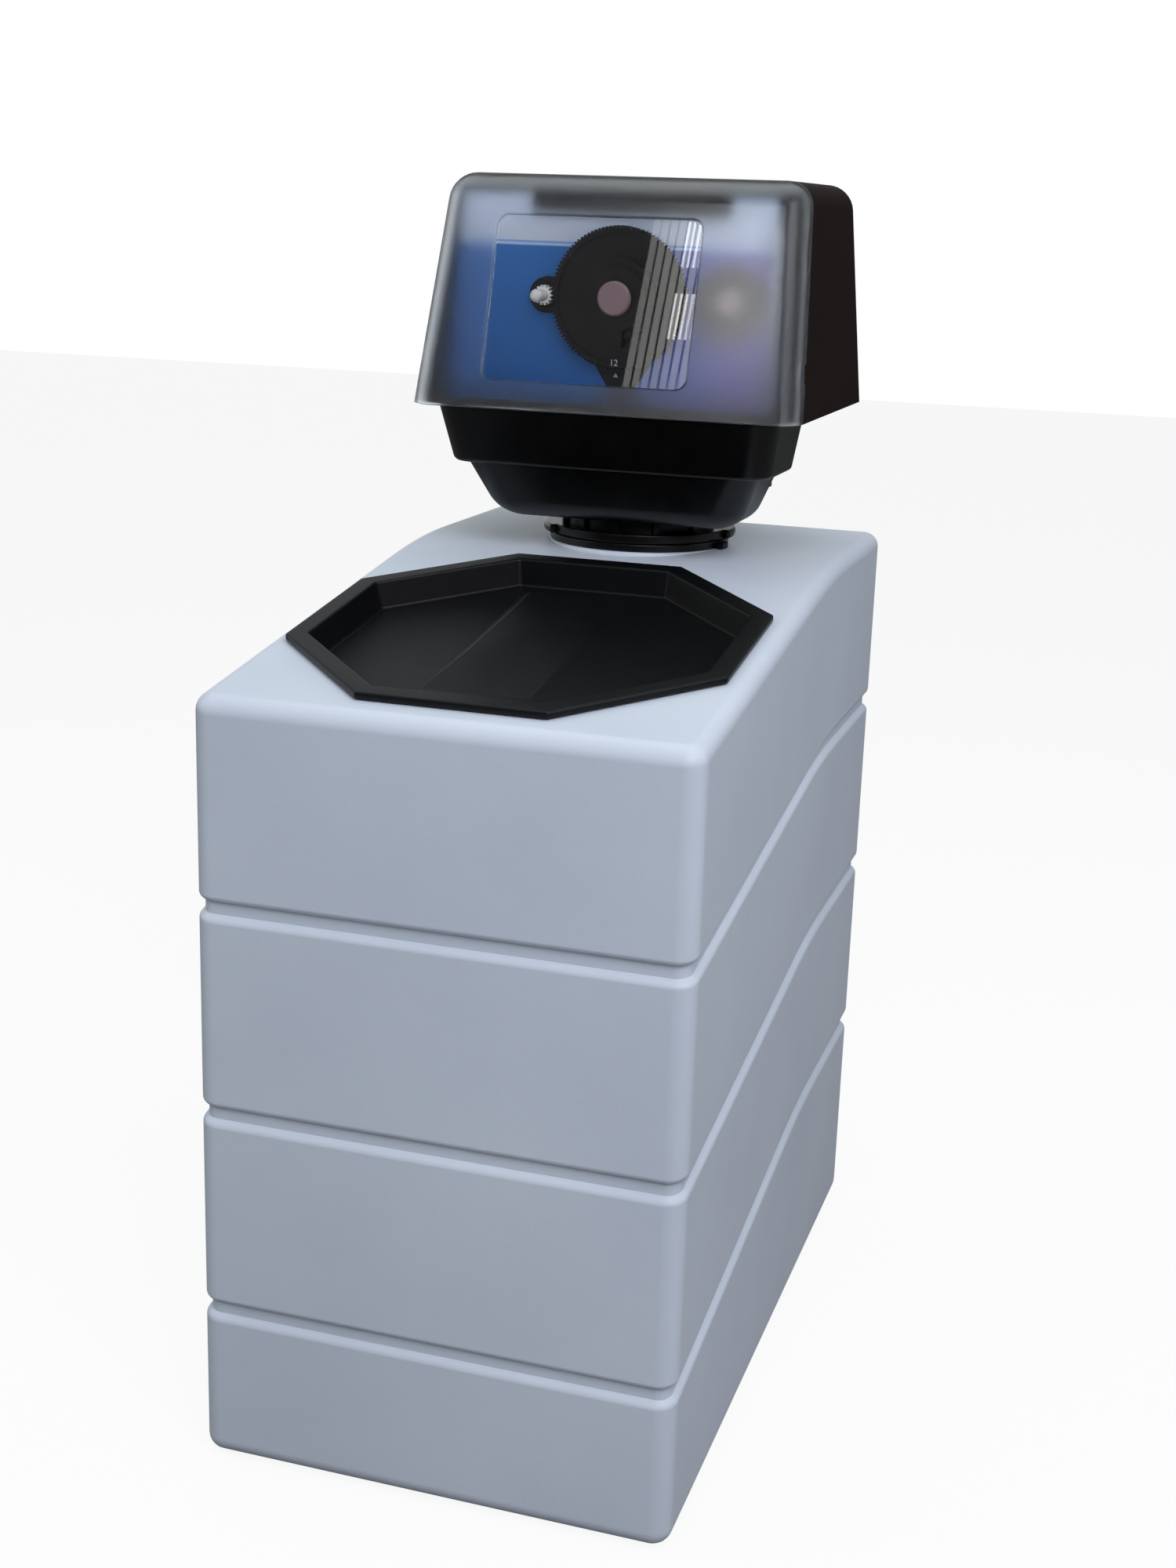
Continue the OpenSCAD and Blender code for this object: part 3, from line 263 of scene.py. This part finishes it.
def turn_to(piece, turns, place):
    """Turns a piece about the origin and carries it to its place."""
    hold(piece)
    piece.rotation_euler, piece.location = turns, place
    bpy.ops.object.transform_apply(location=True, rotation=True, scale=True)


def cut(piece, tool, **settings):
    """Takes a tool's shape out of a piece, and the tool away."""
    modify(piece, "BOOLEAN", operation="DIFFERENCE", solver="EXACT", object=tool, **settings)
    bpy.data.objects.remove(tool)


def join(piece, *others):
    """Makes the others part of a piece."""
    hold(piece)
    for other in others:
        other.select_set(True)
    bpy.ops.object.join()


def settle(piece, name, material, body, slot, *stands_for):
    """Names a finished piece, smooths its rounds, dresses it and fixes it to its body."""
    hold(piece)
    piece.name = piece.data.name = name
    bpy.ops.object.shade_smooth_by_angle(angle=math.radians(40))
    modify(piece, "WEIGHTED_NORMAL", keep_sharp=True, weight=80)
    piece.data.materials.clear()
    piece.data.materials.append(material)
    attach(piece, body)
    if stands_for:
        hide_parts(*stands_for)


def tint(red, green, blue):
    """A colour as a paint chart gives it, 0 to 255, in the light's own scale."""
    shares = (c / 255 for c in (red, green, blue))
    return tuple(s / 12.92 if s <= 10 / 255 else ((s + .055) / 1.055) ** 2.4 for s in shares) + (1.0,)


def finish(name, **constants):
    """A new finish: its material, its shader and the place on the object."""
    material = bpy.data.materials.new(name)
    material.use_nodes = True
    tree = material.node_tree
    shader = tree.nodes["Principled BSDF"]
    for key, value in constants.items():
        shader.inputs[key.replace("_", " ")].default_value = value
    place = tree.nodes.new("ShaderNodeTexCoord")
    return material, shader, Wire(tree, place.outputs["Object"])


def feed(shader, **wires):
    """Links what varies over a surface to its shader."""
    for key, wire in wires.items():
        wire.tree.links.new(wire.socket, shader.inputs[key.replace("_", " ")])


def noise(place, scale, detail=3.0, rough=.55):
    """Uneven patches, finer for a larger scale."""
    sockets = {"Vector": place, "Scale": scale, "Detail": detail, "Roughness": rough}
    return place.make("ShaderNodeTexNoise", {}, sockets)


def bump(height, depth, strength=1.0):
    """A skin's fine relief."""
    return height.make("ShaderNodeBump", {}, {"Strength": strength, "Distance": depth, "Height": height})


cab_w, cab_d, front_h, slope = .230, .390, .370, 37 / 255
bend_from, bend_to = .025, .095
corner_round, top_round, foot_round = .0095, .0078, .0085
groove_heights, groove_half, groove_deep, groove_round = (.077, .1755, .274), .0048, .0028, .0016
foot_top, cabinet_wall, valve_y, hair = .04, .004, .099, .0001
slope_angle = math.atan(slope)
opening_up, opening_half = .120, .0988
to_corner, eighth = 1 / math.cos(math.pi / 8), math.pi / 8


def climb(y):
    """How far the sloping top has risen at y; it bends level over the bend."""
    into = min(max(y - bend_from, 0), bend_to - bend_from)
    return slope * (min(y, bend_from) + cab_d / 2 + into - into * into / 2 / (bend_to - bend_from))


def on_slope(along, lift=0.0):
    """A place so far up the slope from the cabinet's front, and so far above it."""
    return (
        0,
        along * math.cos(slope_angle) - cab_d / 2 - lift * math.sin(slope_angle),
        front_h + along * math.sin(slope_angle) + lift * math.cos(slope_angle),
    )


shell = begin("cube", size=1, location=(0, 0, front_h / 2), scale=(cab_w, cab_d, front_h))
pick(shell, "EDGE", lambda a, b: abs(a.z - b.z) > .1)
bpy.ops.mesh.bevel(offset=corner_round, segments=8)
pick(shell, "EDGE", lambda a, b: min(a.z, b.z) > front_h - hair)
bpy.ops.mesh.bevel(offset=top_round, segments=6)
pick(shell, "EDGE", lambda a, b: max(a.z, b.z) < hair)
bpy.ops.mesh.bevel(offset=foot_round, segments=6)
for groove in groove_heights:
    for edge in (-groove_half, groove_half):
        slice_at(shell, (0, 0, groove + edge), (0, 0, 1))
    pick(shell, "FACE", lambda c, n: abs(c.z - groove) < .004 and abs(n.z) < .3)
    sink = {"value": -groove_deep, "use_even_offset": True}
    bpy.ops.mesh.extrude_region_shrink_fatten(TRANSFORM_OT_shrink_fatten=sink)
    bpy.ops.transform.resize(value=(1, 1, .58))
    pick(
        shell,
        "EDGE",
        lambda a, b: abs(abs(a.z - groove) - groove_half) < .0002 and abs(a.z - b.z) < hair,
    )
    bpy.ops.mesh.bevel(offset=groove_round, segments=4)
# Slices across the bend let the top and the grooves follow it; each row of points then rises by the slope.
for step in range(11):
    slice_at(shell, (0, .010 + .01 * step, 0), (0, 1, 0))
for y in sorted({round(point.co.y, 5) for point in shell.data.vertices}):
    pick(shell, "VERT", lambda p: round(p.y, 5) == y and p.z > foot_top)
    bpy.ops.transform.translate(value=(0, 0, climb(y)))
modify(shell, "SOLIDIFY", thickness=cabinet_wall, offset=-1)
opening = begin("cylinder", vertices=8, radius=opening_half * to_corner, depth=.06, rotation=(0, 0, eighth))
turn_to(opening, (slope_angle, 0, 0), on_slope(opening_up))
cut(shell, opening)
cut(shell, begin("cylinder", vertices=48, radius=.038, depth=.05, location=(0, valve_y, .405)))
pad = begin("cylinder", vertices=96, radius=.0490, depth=.008, location=(0, valve_y, .403))
pick(pad, "EDGE", lambda a, b: min(a.z, b.z) > .4069)
bpy.ops.mesh.bevel(offset=.0015, segments=3)
pick(pad, "FACE", lambda c, n: abs(n.z) > .999)
bpy.ops.mesh.inset(thickness=.0085)
bpy.ops.mesh.bridge_edge_loops()
join(shell, pad)

moulded_grey, shader, place = finish("moulded_grey_polyethylene", Specular_IOR_Level=.45)
cloud = noise(place, 9.0, 4.0)
dimple = noise(place, 420.0, 2.0)
grain = noise(place, 2600.0, 2.0)
feed(
    shader,
    Base_Color=cloud.over(.3, .7).mix(tint(196, 206, 219), tint(203, 213, 225)),
    Roughness=.36 + dimple * .12,
    Normal=bump(dimple * .6 + grain * .4, .00035, .35),
)
settle(shell, "cabinet_shell", moulded_grey, "softener", "cabinet_shell", "cabinet")

# The salt lid: a black octagonal tray, injection moulded, that drops into the opening on its rim.
# A low ridge down its floor is the grip; the walls lean and every edge is softened.
rim_half, rim_thick, rim_wide, wall_drop, floor_drop = .105, .0035, .010, .0125, .0135
lid = begin(
    "cylinder",
    vertices=8,
    radius=rim_half * to_corner,
    depth=rim_thick,
    location=(0, 0, rim_thick / 2),
    rotation=(0, 0, eighth),
)
pick(lid, "FACE", lambda c, n: n.z < -.9)
bpy.ops.mesh.inset(thickness=.0075)
bpy.ops.mesh.extrude_region_move(TRANSFORM_OT_translate={"value": (0, 0, -wall_drop)})
bpy.ops.transform.resize(value=(.969, .969, 1))
pick(lid, "FACE", lambda c, n: n.z > .9)
bpy.ops.mesh.inset(thickness=rim_wide)
bpy.ops.mesh.extrude_region_move(TRANSFORM_OT_translate={"value": (0, 0, -floor_drop)})
bpy.ops.transform.resize(value=(.968, .968, 1))
ridge = begin("cube", size=1, location=(-.006, .0085, -.008), scale=(.056, .153, .006))
pick(ridge, "FACE", lambda c, n: n.z > .9)
bpy.ops.transform.resize(value=(.59, .59, 1))
bpy.ops.transform.translate(value=(-.0025, .0165, 0))
pick(ridge, "FACE", lambda c, n: n.z < -.9)
bpy.ops.mesh.delete(type="ONLY_FACE")
join(lid, ridge)
modify(lid, "BEVEL", width=.0011, segments=3, limit_method="ANGLE", angle_limit=math.radians(25))
# The ridge's underside is closed after the rounding, so that its foot stays sharp on the floor.
pick(lid, "VERT", lambda p: True)
bpy.ops.mesh.fill_holes(sides=0)
# The rim rests just above the slope.
lid_lift = .003 * math.sin(slope_angle) + .00003
turn_to(lid, (slope_angle, 0, 0), on_slope(opening_up, lid_lift))

textured_black, shader, place = finish("textured_black_plastic", Specular_IOR_Level=.22)
leather = noise(place, 1500.0, 3.0)
dust = noise(place, 26.0, 5.0, .65)
feed(
    shader,
    Base_Color=dust.over(.45, .8).mix(tint(6, 7, 9), tint(10, 11, 13)),
    Roughness=.32 + leather * .14,
    Normal=bump(leather, .0002, .35),
)
settle(lid, "lid_tray", textured_black, "lid", "black_matte", "salt_lid")


# The lower housing: a glossy black skirt in two tiers under the head, open at the back.
# It is one moulding; the step between the tiers shows as a soft bright line.
def frustum(low, high):
    """A block between two levels, each given as half width, front, back and height."""
    block = begin("cube", size=1)
    for point in block.data.vertices:
        half, front, rear, height = low if point.co.z < 0 else high
        point.co = Vector((math.copysign(half, point.co.x), front if point.co.y < 0 else rear, height))
    return block


def hollow(piece, thickness):
    """Gives an open shell its wall, inwards."""
    modify(piece, "SOLIDIFY", thickness=thickness, offset=-1, use_even_offset=True)


housing_back, housing_round, housing_wall = .085, .014, .0024
tier = frustum((.084, .027, housing_back, .4505), (.089, .0174, housing_back, .4790))
bowl = frustum((.0645, .044, housing_back, .422), (.0775, .0284, housing_back, .4515))
for block in (tier, bowl):
    pick(block, "EDGE", lambda a, b: abs(a.z - b.z) > .02 and max(a.y, b.y) < .06)
    bpy.ops.mesh.bevel(offset=housing_round, segments=8)
for block, foot, soft, steps in ((bowl, .422, .011, 8), (tier, .4505, .0025, 4)):
    pick(block, "EDGE", lambda a, b: max(a.z, b.z) < foot + hair and min(a.y, b.y) < housing_back - hair)
    bpy.ops.mesh.bevel(offset=soft, segments=steps)
for block in (tier, bowl):
    pick(block, "FACE", lambda c, n: n.y > .9 or n.z > .9)
    bpy.ops.mesh.delete(type="FACE")
    hollow(block, housing_wall)
cut(bowl, begin("cylinder", vertices=64, radius=.0428, depth=.03, location=(0, valve_y, .425)))
join(tier, bowl)

gloss_black, shader, place = finish("gloss_black_moulding", Specular_IOR_Level=.27)
flow = noise(place, 60.0, 3.0)
skin = noise(place, 900.0, 2.0)
feed(
    shader,
    Base_Color=flow.over(.35, .75).mix(tint(4, 4, 5), tint(8, 8, 9)),
    Roughness=.26 + flow * .12,
    Normal=bump(skin, .00012, .25),
)
settle(tier, "lower_skirt", gloss_black, "softener", "black_gloss", "lower_housing")


# The neck: the adapter that screws into the tank, with two bayonet ears, on a flat collar on the shelf.
# Both are black mouldings; a small stop stands out at the collar's right.
def turned(radius, low, high, soft=0.0, sides=96):
    """A disc about the valve's axis between two heights, with softened edges."""
    middle = (0, valve_y, (low + high) / 2)
    disc = begin("cylinder", vertices=sides, radius=radius, depth=high - low, location=middle)
    if soft:
        pick(disc, "EDGE", lambda a, b: abs(a.z - b.z) < .00001)
        bpy.ops.mesh.bevel(offset=soft, segments=3)
    return disc


def ear(angle):
    """One bayonet ear: a slice of a wider disc, rounded at its ends."""
    piece = turned(.0515, flange_low, flange_high)
    for side in (-1, 1):
        edge = math.radians(angle + side * ear_half)
        away = (side * -math.sin(edge), side * math.cos(edge), 0)
        slice_at(piece, valve_axis, away, clear_outer=True, use_fill=True)
    modify(piece, "BEVEL", width=.0016, segments=4, limit_method="ANGLE", angle_limit=math.radians(40))
    return piece


def block_at(angle, soft, location, scale):
    """A small softened block, made beside the valve's axis and turned about it."""
    block = begin("cube", size=1, location=location, scale=scale)
    turn_to(block, (0, 0, math.radians(angle)), valve_axis)
    modify(block, "BEVEL", width=soft, segments=2)
    return block


def mend(piece):
    """Merges points that a cut has left all but on one another, and the slivers between them."""
    pick(piece, "VERT", lambda p: True)
    bpy.ops.mesh.remove_doubles(threshold=.00002)
    bpy.ops.mesh.dissolve_degenerate(threshold=.00002)


valve_axis = (0, valve_y, 0)
flange_low, flange_high, ear_half = .4113, .4160, 23.5
flange = turned(.0480, flange_low, flange_high, .0008)
hub = turned(.0400, .4155, .4218, .0006)
spigot = turned(.0307, .3870, .4120)
rib_angles, rib_at, rib_size = (-150, -120, -91, -62, -30), (.0405, 0, .4186), (.004, .004, .0058)
ribs = [block_at(angle, .0006, rib_at, rib_size) for angle in rib_angles]
join(flange, ear(16.5), ear(196.5), hub, spigot, *ribs)
cut(flange, turned(.01306, .380, .430), use_self=True)
mend(flange)
settle(flange, "neck_flange", gloss_black, "softener", "black_gloss", "tank_adapter")

collar = turned(.0480, .4071, .4110, .0007)
cut(collar, turned(.0363, .400, .420))
join(collar, block_at(-14, .0007, (.0500, 0, .4090), (.0055, .0060, .0036)))
settle(collar, "neck_ring", gloss_black, "softener", "black_matte", "neck_collar")

# The head's covers: a black rear hood and a frosted tray in front of it that snap together on a leaning seam.
# Both come from one leaning form, split just behind the front corners.
# The tray has a window cut in its face and a latch notch in each rear edge.
cover_front, cover_low, cover_high = .015, .480, .5939
cover_wall, hood_from, tray_to = .0026, .0124, .0120
lean = math.atan(28 / 101)
inward = Vector((0, math.cos(lean), -math.sin(lean)))
upward = Vector((0, math.sin(lean), math.cos(lean)))
face_foot = Vector((0, cover_front, cover_low))
window_w, window_h, window_round, window_x, window_up = .107, .084, .006, -.010, .056
window_shift = Vector((window_x, window_up * math.sin(lean), window_up * math.cos(lean)))


def at_window(point):
    """Whether a point is on the window's outline, on the tray's outer face."""
    reach = point - face_foot
    aside = abs(point.x - window_x) < window_w / 2 + 2 * hair
    along = abs(reach.dot(upward) - window_up) < window_h / 2 + 2 * hair
    return aside and along and abs(reach.dot(inward)) < .001


hood = frustum((.101, cover_front, .186, cover_low), (.0932, .0461, .1665, cover_high))
pick(hood, "EDGE", lambda a, b: abs(a.z - b.z) > .05)
bpy.ops.mesh.bevel(offset=.011, segments=8)
pick(hood, "EDGE", lambda a, b: min(a.z, b.z) > cover_high - hair)
bpy.ops.mesh.bevel(offset=.0125, segments=8)
pick(hood, "FACE", lambda c, n: n.z < -.9)
bpy.ops.mesh.delete(type="FACE")
hold(hood)
bpy.ops.object.duplicate()
tray = bpy.context.object
slice_at(hood, face_foot + inward * hood_from, inward, clear_inner=True)
slice_at(tray, face_foot + inward * tray_to, inward, clear_outer=True)
hollow(hood, cover_wall)
hollow(tray, cover_wall)
modify(hood, "BEVEL", width=.0005, segments=2, limit_method="ANGLE", angle_limit=math.radians(50))
window = begin("cube", size=1, scale=(window_w, .05, window_h))
pick(window, "EDGE", lambda a, b: abs(a.y - b.y) > .01)
bpy.ops.mesh.bevel(offset=window_round, segments=8)
turn_to(window, (-lean, 0, 0), face_foot + window_shift)
cut(tray, window)
for side in (-1, 1):
    notch = begin("cube", size=1, scale=(.012, .0022, .0098))
    notch_at = face_foot + Vector((side * .0985, 0, 0)) + inward * .0112 + upward * .0275
    turn_to(notch, (-lean, 0, 0), notch_at)
    cut(tray, notch)
pick(tray, "EDGE", lambda a, b: at_window(a) and at_window(b))
bpy.ops.mesh.bevel(offset=.0006, segments=3)

hood_black, shader, place = finish("hood_black_moulding", Specular_IOR_Level=.08)
flow = noise(place, 45.0, 3.0)
skin = noise(place, 1200.0, 2.0)
feed(
    shader,
    Base_Color=flow.over(.35, .75).mix(tint(22, 11, 10), tint(29, 17, 15)),
    Roughness=.52 + flow * .12,
    Normal=bump(skin, .00015, .3),
)
settle(hood, "rear_hood", hood_black, "softener", "black_gloss", "rear_cover")

frosted, shader, place = finish(
    "frosted_cover_plastic",
    IOR=1.25,
    Specular_IOR_Level=.3,
    Transmission_Weight=1.0,
    Coat_Roughness=.15,
)
frost = noise(place, 700.0, 3.0)
flat_face = 1 - abs(part(place, "X")).over(.078, .092) * .6
feed(
    shader,
    Base_Color=frost.over(.3, .7).mix(tint(236, 241, 248), tint(244, 248, 253)),
    Roughness=.54 + frost * .08,
    Coat_Weight=flat_face * (.36 + frost * .1),
    Normal=bump(frost, .0001, .2),
)
settle(tray, "frosted_tray", frosted, "cover", "frosted_cover", "front_cover")

# The window: a clear polished pane set into the tray's face.
# Its edge is polished too and catches the light as a thin line.
pane = begin("cube", size=1, scale=(.1064, .0016, .0834))
pick(pane, "EDGE", lambda a, b: abs(a.y - b.y) > .001)
bpy.ops.mesh.bevel(offset=window_round, segments=8)
modify(pane, "BEVEL", width=.0002, segments=2, limit_method="ANGLE", angle_limit=math.radians(50))
turn_to(pane, (-lean, 0, 0), face_foot + inward * .0013 + window_shift)
clear, shader, place = finish(
    "clear_window_plastic",
    IOR=1.45,
    Transmission_Weight=1.0,
    Base_Color=tint(250, 251, 253),
)
smear = noise(place, 30.0, 4.0)
feed(shader, Roughness=.004 + smear.over(.6, .8) * .03)
settle(pane, "window_pane", clear, "cover", "clear_lens", "window_lens")

# The timer's face: a stiff printed film on the front of a moulded plate, in plain bands of colour.
# It is white above, blue below and turns violet towards the right, and is notched for the catch bar.
# Three holes let the button, the knob and the skipper wheel through.
button_x, knob_x, skipper_x, shaft_z = -.04275, -.003, .055, .5345
facing_front = (math.pi / 2, 0, 0)
sheet = begin("cube", size=1, location=(-.010, .06165, .5346), scale=(.171, .0005, .1004))
slice_at(sheet, (-.0955, 0, .4844), (-.1004, 0, .0053), clear_outer=True, use_fill=True)
for shaft_x, radius in ((button_x, .0093), (knob_x, .0063), (skipper_x, .0043)):
    hole_at = (shaft_x, .0616, shaft_z)
    hole = begin("cylinder", vertices=48, radius=radius, depth=.01, location=hole_at, rotation=facing_front)
    cut(sheet, hole)
cut(sheet, begin("cube", size=1, location=(.001, .0616, .5861), scale=(.1032, .01, .0200)))

film, shader, place = finish("printed_film", Roughness=.38, Specular_IOR_Level=.4)
x, z = part(place, "X"), part(place, "Z")
blue = z.over(.49, .556).mix(tint(42, 101, 172), tint(48, 106, 172))
blue = x.over(-.02, .06).mix(blue, tint(94, 84, 152))
face = z.over(.5585, .5595).mix(blue, tint(188, 197, 210))
line = (z > .5600) * (z < .5612)
face = line.mix(face, tint(120, 160, 216))
wedge = abs(x + .002) < z.over(.489, .520) * .020 + .007
shade = wedge * (z < .520)
speck = noise(place, 1800.0, 2.0)
feed(shader, Base_Color=shade.mix(face, tint(18, 16, 18)), Normal=bump(speck, .00005, .2))
settle(sheet, "printed_face", film, "softener", "label_print", "face_label")

# Marks on the dial: a plain hour figure at the gear's foot and a pointer below it on the film.
# Both are thin white print, a little worn.
print_white, shader, place = finish("white_print", Specular_IOR_Level=.3)
wear = noise(place, 1500.0, 2.0)
feed(
    shader,
    Base_Color=wear.over(.3, .8).mix(tint(206, 203, 204), tint(178, 174, 176)),
    Roughness=.45 + wear * .1,
)
hold(sheet)
bpy.ops.object.text_add(location=(-.0040, .05388, .5010), rotation=facing_front)
figure = bpy.context.object
figure.data.body, figure.data.size = "12", .0046
figure.data.align_x, figure.data.extrude = "CENTER", .00004
bpy.ops.object.convert(target="MESH")
bpy.ops.object.transform_apply(location=True, rotation=True, scale=True)
settle(figure, "hour_figure", print_white, "day_dial", "label_print")
pointer_at = (-.0050, .06136, .4955)
pointer = begin("cylinder", vertices=3, radius=.0015, depth=.0001, location=pointer_at, rotation=facing_front)
settle(pointer, "dial_pointer", print_white, "softener", "label_print")


# The timer's plate and the day tabs: grey plastic mouldings with a fine satin skin.
# The plate is screwed down behind the film, and the tabs slide in the skipper wheel's rim.
def dress(material, *names):
    """Gives solid pieces of the frame their finish."""
    for name in names:
        slots = nodes[name].data.materials
        slots.clear()
        slots.append(material)


def satin(name, darker, lighter, rough):
    """A moulded plastic with a satin skin, slightly uneven in colour."""
    material, shader, place = finish(name, Specular_IOR_Level=.4)
    skin = noise(place, 1400.0, 2.0)
    feed(
        shader,
        Base_Color=skin.over(.2, .8).mix(darker, lighter),
        Roughness=rough + skin * .1,
        Normal=bump(skin, .0001, .3),
    )
    return material


satin_grey = satin("satin_grey_plastic", tint(176, 179, 184), tint(188, 191, 196), .42)
dress(satin_grey, "timer_plate", *(f"day_tab_{n}" for n in range(1, 8)))

# White pieces: the set button, the brine fittings, the riser with its baskets, the valve's plug and yoke.
# They are moulded in natural white plastic with the same satin skin.
satin_white = satin("satin_white_plastic", tint(226, 226, 222), tint(238, 238, 234), .36)
dress(satin_white, "set_button", "brine_well", "brine_valve", "brine_float")
dress(satin_white, "riser_tube", "lower_basket", "upper_basket", "end_plug", "piston_yoke")

# The two caps: rose grey plastic plugs at the middle of the knob and of the skipper wheel.
# They are small mouldings pressed into place, with the same satin skin.
rose_grey = satin("rose_grey_plastic", tint(138, 114, 118), tint(150, 126, 130), .4)
dress(rose_grey, "knob_cap", "skipper_cap")

# The timer's wheels: the day gear, the knob, the skipper wheel and the button's boss.
# They are moulded in a brownish black, a little uneven in gloss where the plastic flowed.
umber_black, shader, place = finish("umber_black_plastic", Specular_IOR_Level=.35)
flow = noise(place, 70.0, 3.0)
skin = noise(place, 1600.0, 2.0)
feed(
    shader,
    Base_Color=flow.over(.35, .75).mix(tint(16, 11, 11), tint(22, 16, 15)),
    Roughness=.38 + flow * .14,
    Normal=bump(skin, .00004, .25),
)
dress(umber_black, "day_gear", "regen_knob", "skipper_wheel", "pinion_boss")

# Other black mouldings: the catch bar, tank base, well cap and overflow pieces are textured like the lid.
# The base plate and the valve's bodies, elbows and tails are glossy like the lower housing.
dress(textured_black, "cover_catch", "tank_base", "well_cap", "overflow_elbow", "overflow_nut")
dress(gloss_black, "base_plate", "valve_body", "injector_body", "drain_elbow")
dress(gloss_black, "brine_spigot", "inlet_tail", "outlet_tail")

# Metal pieces: the piston, the screws and clips, the motor, its shaft and the crank.
# They are turned or stamped from steel, bright where it is rubbed and duller elsewhere.
turned_steel, shader, place = finish("turned_steel", Metallic=1.0)
streak = noise(place, 300.0, 3.0, .5)
feed(
    shader,
    Base_Color=streak.over(.3, .7).mix(tint(168, 168, 170), tint(196, 196, 198)),
    Roughness=.28 + streak * .2,
)
dress(turned_steel, "piston", "injector_screws", "port_clips", "deck_screws")
dress(turned_steel, "plate_screws", "timer_motor", "pinion_shaft", "drive_crank")

# The button's spring: four turns of thin steel wire behind the set button, on its shaft.
# The real spring shortens as the button is pressed; this one keeps its length.
wire_radius, coil_radius, coil_pitch, coil_turns = .0004, .00295, .0019, 4
coil = begin("circle", vertices=10, radius=wire_radius, location=(coil_radius, 0, 0))
modify(coil, "SCREW", axis="Y", steps=32, render_steps=32, screw_offset=coil_pitch, iterations=coil_turns)
pick(coil, "VERT", lambda p: True)
bpy.ops.mesh.fill_holes(sides=0)
bpy.ops.mesh.normals_make_consistent(inside=False)
turn_to(coil, (0, 0, 0), (button_x, .05935, shaft_z))
settle(coil, "button_coil", turned_steel, "pinion", "steel", "button_spring")
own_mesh(coil)

# Seals: moulded rubber rings in the neck, in the valve's stack and at the ports.
# They are dull black and a little uneven.
seal_black, shader, place = finish("seal_rubber", Specular_IOR_Level=.3)
skin = noise(place, 900.0, 3.0)
feed(
    shader,
    Base_Color=skin.over(.2, .8).mix(tint(16, 16, 16), tint(26, 26, 26)),
    Roughness=.6 + skin * .2,
)
dress(seal_black, "neck_seal", "seal_stack", "port_seals")

# The tank: a plastic liner wound with thread in blue resin, under a clear coat.
# The turns of the thread show as faint rings.
wound_blue, shader, place = finish("wound_tank_skin", Coat_Weight=.3)
winding = {"Vector": place, "Scale": 60.0, "Distortion": 1.5, "Detail": 2.0}
turns = place.make("ShaderNodeTexWave", {"bands_direction": "Z"}, winding)
feed(
    shader,
    Base_Color=turns.mix(tint(44, 84, 140), tint(58, 98, 156)),
    Roughness=.35 + turns * .15,
    Normal=bump(turns, .0004, .4),
)
dress(wound_blue, "resin_tank")

# The resin bed: fine amber beads that fill the lower part of the tank.
# Each bead is round and slightly clear, so the bed looks grainy.
beads, shader, place = finish("resin_beads")
grains = place.make("ShaderNodeTexVoronoi", {}, {"Vector": place, "Scale": 900.0})
feed(
    shader,
    Base_Color=grains.over(0, .7).mix(tint(198, 132, 58), tint(128, 72, 26)),
    Roughness=.4 + grains * .2,
    Normal=bump(grains, .0004, .8),
)
dress(beads, "resin_bed")
